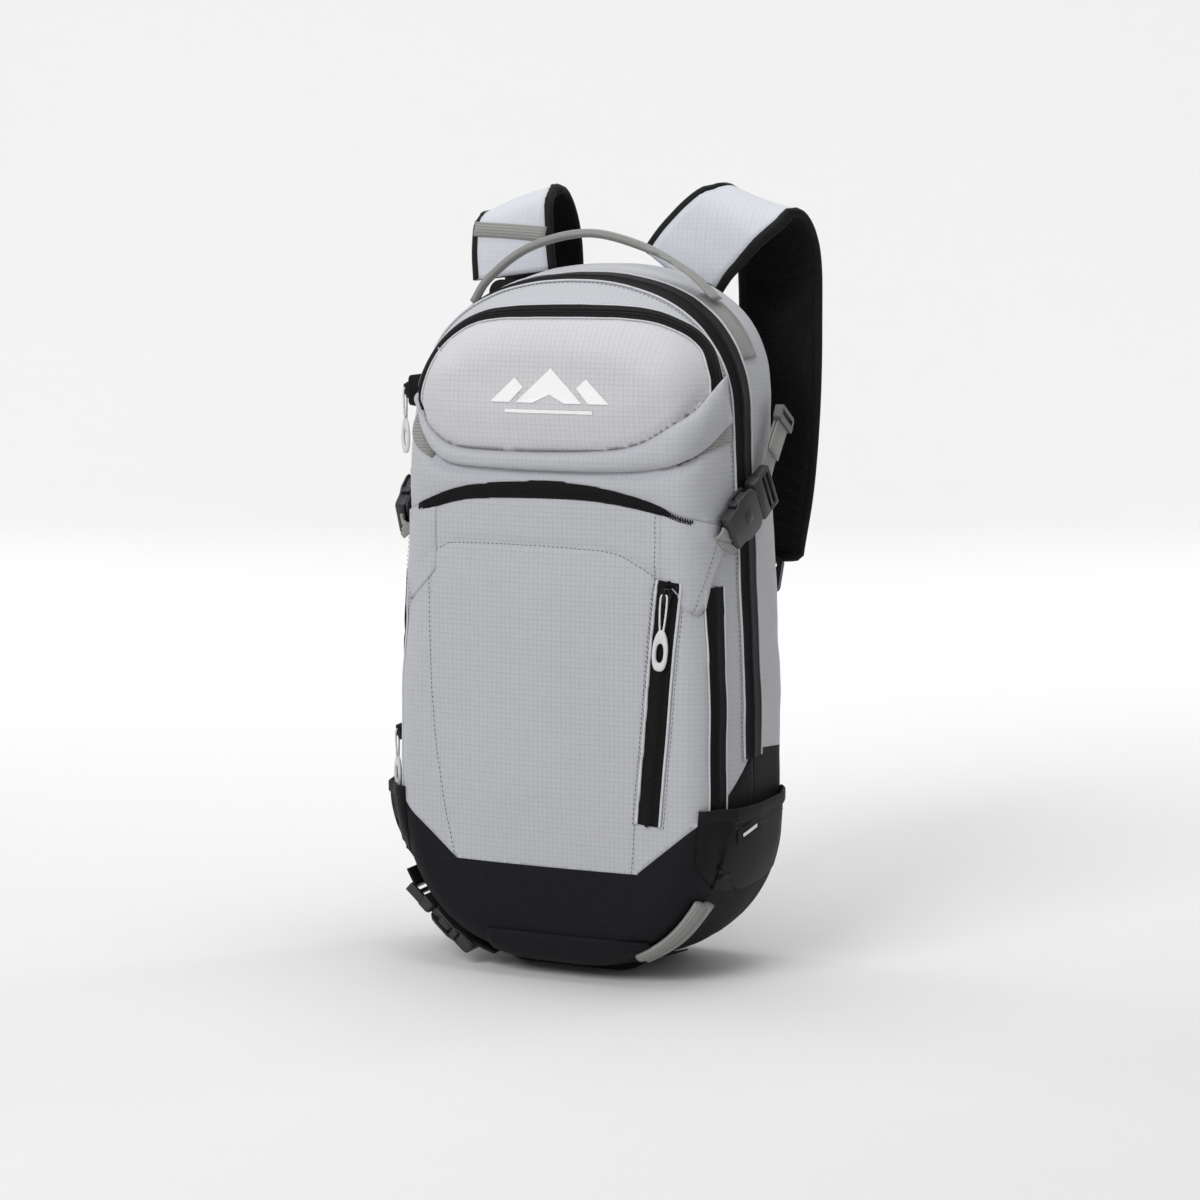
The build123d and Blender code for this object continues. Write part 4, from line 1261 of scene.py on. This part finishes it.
def slider_pull(name, seat, length, width, cord, tab, twist=0.0):
    """A zip's slider, the cord looped through it and the tab on the cord's end. +y runs up the zip.

    twist turns the hanging tab about the cord, in degrees.
    """
    body = Moulding()
    shield = [(0, -6.5), (3.2, -6), (4.2, -2), (4.4, 3), (3.2, 6.5), (-3.2, 6.5), (-4.4, 3), (-4.2, -2),
              (-3.2, -6)]
    body.prism(shield, 0.6, 3.4, 0.12)
    body.prism([(x * 0.3, y * 0.72 + 0.5) for x, y in shield], 3.3, 6.4, 0.15)
    made = body.piece(f"{name}_zip_slider", seat, slider_lacquer, f"{name}_slider", "slider_metal", 0.5)
    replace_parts(made, f"{name}_slider")
    reach = length * 0.5
    loop = [(-1.6, 1.2, 0), (-2.4, -2, 0.3), (-2.2, -reach * 0.5, 0.2), (-0.9, -reach, 0), (0.9, -reach, 0),
            (2.2, -reach * 0.5, 0.2), (2.4, -2, 0.3), (1.6, 1.2, 0), (-1.6, 1.2, 0)]
    points = [seat @ (Vector(p) + Vector((0, 0, PIN_OUT))) for p in catmull(loop, 1.0)]
    sweep(f"{name}_pull_cord", points, seat.to_3x3() @ Vector((0, 0, 1)), lambda t: oval(1.5, 1.5, 8), cord,
          f"{name}_pull")
    turns = np.linspace(0, 2 * math.pi, 28, endpoint=False)
    centre = -length + (length - reach + 3) / 2
    half = (length - reach + 3) / 2
    outer, inner = [], []
    for t in turns:
        c, s = math.cos(t), math.sin(t)
        neck = 1 - 0.32 * max(0.0, s) ** 1.2
        outer.append((width / 2 * math.copysign(abs(c) ** 0.7, c) * neck,
                      centre + half * math.copysign(abs(s) ** 0.8, s)))
        inner.append((width * 0.24 * c, centre - half * 0.12 + half * 0.46 * math.copysign(abs(s) ** 0.7, s)))
    verts, faces = ring_plate(outer, inner, 1.1)
    turn = Matrix.Rotation(math.radians(twist), 3, "Y")
    verts = [seat @ (turn @ Vector(v) + Vector((0, 0, PIN_OUT))) for v in verts]
    made = turn_out(add_piece(f"{name}_pull_tab", verts, faces, tab, f"{name}_pull"))
    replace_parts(made, f"{name}_pull")


chest_low, chest_high = node_box("chest_slider")
chest_centre = (chest_low + chest_high) / 2
chest_up = Vector((math.sin(PULL_TILT), 0, math.cos(PULL_TILT)))
chest_seat = Matrix((Vector((math.cos(PULL_TILT), 0, -math.sin(PULL_TILT))), chest_up, Vector((0, -1, 0))))
chest_seat = chest_seat.transposed().to_4x4()
front_here = wrap(chest_centre.x, chest_centre.z)
chest_seat.translation = Vector((chest_centre.x, min(front_here.y + 0.2, FRONT - 1.2), chest_centre.z))
slider_pull("chest", chest_seat, 52, 11.5, white_cord, white_rubber)
for name, length, width, cord, tab, twist in (("goggle", 46, 11, white_cord, white_rubber, 55),
                                              ("main_upper", 24, 6.5, binding_cloth, dark_rubber, 20),
                                              ("main_lower", 24, 6.5, binding_cloth, dark_rubber, -15),
                                              ("pocket", 42, 11, white_cord, white_rubber, 50)):
    low, high = node_box(f"{name}_slider")
    middle = (low + high) / 2
    seat = Matrix((Vector((0, -1, 0)), Vector((0, 0, 1)), Vector((-1, 0, 0)))).transposed().to_4x4()
    cloth = nearest((-HALF, middle.y, middle.z))[0].x
    seat.translation = Vector((max(high.x, min(cloth - 1.0, high.x + 7)), middle.y, middle.z))
    if name == "goggle":
        garage = Moulding()
        outline = mirrored([(-12, 3.5), (-9, 5.5), (9, 5.5), (12, 3.5)])
        garage.prism(outline, seat.translation.x - cloth - 2, 0.8, 0.1)
        garage.piece("goggle_zip_garage", seat @ Matrix.Rotation(math.pi / 2, 4, "Z"), tape_cloth,
                     "main_flap", "zip_tape", 1.2)
    slider_pull(name, seat, length, width, cord, tab, twist)

# ------------------------------------------------------------------ back, base and pocket wall


def rounded_rectangle(width, height, corner, steps=8):
    """Corners of a rounded rectangle about its centre."""
    found = []
    for cx, cy, first in ((1, 1, 0), (-1, 1, 1), (-1, -1, 2), (1, -1, 3)):
        for k in range(steps + 1):
            turn = (first + k / steps) * math.pi / 2
            found.append((cx * (width / 2 - corner) + corner * math.cos(turn),
                          cy * (height / 2 - corner) + corner * math.sin(turn)))
    return found


def cushion(name, seat, size, depth, corner, material, body):
    """A padded slab: rings of a rounded rectangle that rise from its edge to a soft crown along +z."""
    outline = rounded_rectangle(*size, corner)
    verts, count = [], len(outline)
    shares = [1.0, 1.0, 0.99, 0.96, 0.9, 0.8, 0.65, 0.45, 0.2]
    for k, share in enumerate(shares):
        rise = depth * (1 - share**10) ** 0.5 if k else 0.0
        reach = 1 - (1 - share) * min(size) / max(size)
        wide, tall = (share, reach) if size[0] < size[1] else (reach, share)
        verts += [seat @ Vector((x * wide, y * tall, rise + (0.25 * depth if k == 1 else 0)))
                  for x, y in outline]
    faces = [(a * count + k, a * count + (k + 1) % count,
              (a + 1) * count + (k + 1) % count, (a + 1) * count + k)
             for a in range(len(shares) - 1) for k in range(count)]
    faces.append(tuple(range(count)))
    faces.append(tuple((len(shares) - 1) * count + k for k in reversed(range(count))))
    return turn_out(add_piece(name, verts, faces, material, body))


def on_back(x, z, y=BACK):
    """A seat on the back, with +z pointing away from the bag."""
    return seat_at((x, y, z), (1, 0, 0), (0, 1, 0))


back_low, back_high = node_box("back_panel")
back_middle = (back_low.z + back_high.z) / 2
panel = cushion("back_panel_cloth", on_back(0, back_middle, BACK - 0.5), (176, back_high.z - back_low.z), 3.4,
                38, dark_cloth, "pack")
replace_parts(panel, "back_panel")
PAD_ROWS = ((60, 160), (172, 300), (312, 444))
for row, (low, high) in enumerate(PAD_ROWS):
    for x, tag in ((-44, "left"), (44, "right")):
        pad = cushion(f"back_pad_{tag}_{row}", on_back(x, (low + high) / 2, BACK + 2.5), (72, high - low),
                      6.6, 16, mesh_cloth, "pack")
        if row == 1 and x > 0:
            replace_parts(pad, "back_pads")
for x, tag in ((-80, "left"), (44, "right")):
    pad = cushion(f"strap_yoke_{tag}", on_back(x, 474, BACK - 1), (58, 34), 9, 10, mesh_cloth, "pack")
    if x > 0:
        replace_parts(pad, "shoulder_yoke")
for way, tag in ((-1, "left"), (1, "right")):
    tab = cushion(f"foot_tab_{tag}", on_back(way * 101.5, 66, BACK - 1), (24, 26), 3.6, 4, binding_cloth,
                  "pack")
    if way > 0:
        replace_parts(tab, "foot_tabs")
    adjuster = catmull([(way * 93, 91.5, 263), (way * 96, 79, 195), (way * 99.5, 66, 120),
                        (way * 101, 59.5, 74)], 6)
    made = sweep(f"adjuster_strap_{tag}", adjuster, (1, 0, 0), lambda t: flat_section(20, 1.7), webbing_cloth,
                 None)
    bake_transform(made)
    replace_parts(made, f"adjuster_web_{tag}")

base_low, base_high = node_box("base_pad")
base_seat = seat_at(((base_low.x + base_high.x) / 2, (base_low.y + base_high.y) / 2, 9), (0, 1, 0),
                    (0, 0, -1))
base = cushion("base_pad_cloth", base_seat, (base_high.y - base_low.y, base_high.x - base_low.x), 9, 14,
               dark_cloth, "pack")
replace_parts(base, "base_pad")

# The main panel's wall behind the front pocket, seen when the cover is folded down
wall_rows = []
for z in np.linspace(FOLD + 2, 344, 34):
    edge = nearest((HALF, COVER_EDGE + 1.5, z))[0].x - 4
    wall_rows.append([(x * edge, COVER_EDGE + 2.5 + 3 * (1 - x**4), z) for x in np.linspace(-1, 1, 30)])
wall_faces = [(i * 30 + k, i * 30 + k + 1, (i + 1) * 30 + k + 1, (i + 1) * 30 + k)
              for i in range(33) for k in range(29)]
thicken(add_piece("pocket_wall", [p for row in wall_rows for p in row], wall_faces, lining_cloth, "main_flap"), 0.8, 0.0)

for node, material in (("frame_sheet", sheet_plastic), ("back_foam", foam_stuff),
                       ("compression_rings", ring_plastic),
                       ("ladder_locks", buckle_plastic), ("sternum_clips", buckle_plastic)):
    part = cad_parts[node].data
    part.materials.clear()
    part.materials.append(material)

# ------------------------------------------------------------------ marks: three plain peaks, and a blank tag


def print_on(name, shapes, centre, z0, body, material, height=0.35):
    """Flat printed shapes on the front, or on a side where centre is beyond the corner."""
    verts, faces = [], []
    for shape in shapes:
        dense = []
        for a, b in zip(shape, shape[1:] + shape[:1]):
            for t in np.linspace(0, 1, 6, endpoint=False):
                dense.append((a[0] * (1 - t) + b[0] * t, a[1] * (1 - t) + b[1] * t))
        middle = (sum(p[0] for p in dense) / len(dense), sum(p[1] for p in dense) / len(dense))
        base = len(verts)
        verts.append(wrap(centre + middle[0], z0 + middle[1], height))
        verts += [wrap(centre + x, z0 + y, height) for x, y in dense]
        n = len(dense)
        faces += [(base, base + 1 + k, base + 1 + (k + 1) % n) for k in range(n)]
    piece = add_piece(name, verts, faces, material, body, flat=True)
    face_away(piece)
    return thicken(piece, 0.25, 1.0)


PEAKS = [[(-42, 0), (-24, 17), (-17, 10.5), (-27, 0)],
         [(-22, 0), (3, 24), (28, 0), (15, 0), (3, 12), (-9, 0)],
         [(33, 0), (23, 10.5), (30, 17), (48, 0)], [(-30, -7), (-30, -4.6), (36, -4.6), (36, -7)]]
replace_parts(print_on("peaks_print", PEAKS, 3, 411, "main_flap", white_print), "badge")
TAG_LEAN = math.radians(14)


def leaning(shape):
    """A shape turned to the side tag's slope."""
    c, s = math.cos(TAG_LEAN), math.sin(TAG_LEAN)
    return [(x * c - y * s, x * s + y * c) for x, y in shape]


def bar(x, y, width, height, slant=0.25):
    """Corners of a bar, which may slant."""
    return [(x, y), (x + height * slant, y + height), (x + width + height * slant, y + height),
            (x + width, y)]


TAG_AT = (150, 112)  # across and height
tag_height = pouch_swell((TAG_AT[0] - POUCH_SPAN[0]) / (POUCH_SPAN[1] - POUCH_SPAN[0]),
                         (POUCH_TOP - TAG_AT[1]) / 66)
tag = print_on("tag_cloth", [leaning(bar(-15, -5.5, 29, 11, 0.1))], *TAG_AT, "pack", binding_cloth,
               tag_height + 0.6)
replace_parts(tag, "side_tag")
print_on("tag_marks", [leaning(bar(-9, -1.2, 18, 2.4, 0))], *TAG_AT, "pack", white_print, tag_height + 1.1)

# ------------------------------------------------------------------ floor, light and camera


def stage():
    """Pale floor that sweeps up to a backdrop."""
    section = [(-9.0, 0.0), (3.0, 0.0)]
    for t in np.linspace(0, math.pi / 2, 12):
        section.append((3.0 + 2.0 * math.sin(t), 2.0 * (1 - math.cos(t))))
    section.append((5.0, 9.0))
    yaw = Matrix.Rotation(math.radians(VIEW_AZIMUTH), 3, "Z")
    verts = [yaw @ Vector((x, y, z)) / MM for y, z in section for x in (-9.0, 9.0)]
    faces = [(2 * i, 2 * i + 1, 2 * i + 3, 2 * i + 2) for i in range(len(section) - 1)]
    paper = plain("backdrop_paper", (0.80, 0.80, 0.80), 0.9, grain=40, depth=0.0, contrast=0.01)
    mesh = bpy.data.meshes.new("backdrop")
    mesh.from_pydata([tuple(v * MM) for v in verts], [], faces)
    mesh.materials.append(paper)
    mesh.polygons.foreach_set("use_smooth", [True] * len(mesh.polygons))
    made = bpy.data.objects.new("backdrop", mesh)
    bpy.context.collection.objects.link(made)


VIEW_AZIMUTH = 24
VIEW_PITCH = 7.6
VIEW_DISTANCE = 2.244
VIEW_HEIGHT = 0.562
VIEW_ASIDE = 0.005
LENS = 93.75


def turned(x, y, z):
    """A place given as seen from the camera's side: x right, y away, z up."""
    return Matrix.Rotation(math.radians(VIEW_AZIMUTH), 3, "Z") @ Vector((x, y, z))


def light(name, place, aim, size, power):
    """An area light, placed and aimed as seen from the camera's side."""
    data = bpy.data.lights.new(name, "AREA")
    data.energy = power
    data.shape = "RECTANGLE"
    data.size, data.size_y = size
    lamp = bpy.data.objects.new(name, data)
    lamp.location = turned(*place)
    lamp.rotation_euler = (turned(*aim) - lamp.location).to_track_quat("-Z", "Y").to_euler()
    bpy.context.collection.objects.link(lamp)


stage()
light("key", (-1.6, -2.2, 2.3), (0, 0, 0.3), (1.6, 1.6), 62)
light("top", (0.2, 0.2, 2.6), (0, 0, 0.3), (2.2, 1.8), 30)
light("fill", (2.4, -1.6, 1.0), (0, 0, 0.25), (1.4, 1.8), 1.5)
light("backdrop_left", (-2.2, 1.6, 2.2), (-0.4, 4.6, 0.9), (2.0, 2.0), 58)
light("backdrop_right", (2.2, 1.6, 2.2), (0.4, 4.6, 0.9), (2.0, 2.0), 58)

world = bpy.data.worlds.new("studio")
world.use_nodes = True
world.node_tree.nodes["Background"].inputs["Color"].default_value = (1, 1, 1, 1)
world.node_tree.nodes["Background"].inputs["Strength"].default_value = 0.3
bpy.context.scene.world = world
bpy.context.scene.view_settings.view_transform = "Standard"

camera_data = bpy.data.cameras.new("camera")
camera_data.lens = LENS
camera_data.sensor_width = 36
camera_data.clip_end = 50
camera = bpy.data.objects.new("camera", camera_data)
camera.location = turned(VIEW_ASIDE, -VIEW_DISTANCE, VIEW_HEIGHT)
camera.rotation_euler = (math.radians(90 - VIEW_PITCH), 0, math.radians(VIEW_AZIMUTH))
bpy.context.collection.objects.link(camera)
bpy.context.scene.camera = camera

# ------------------------------------------------------------------ finish


def corners(box):
    """A box as plain lists."""
    return [list(corner) for corner in box]
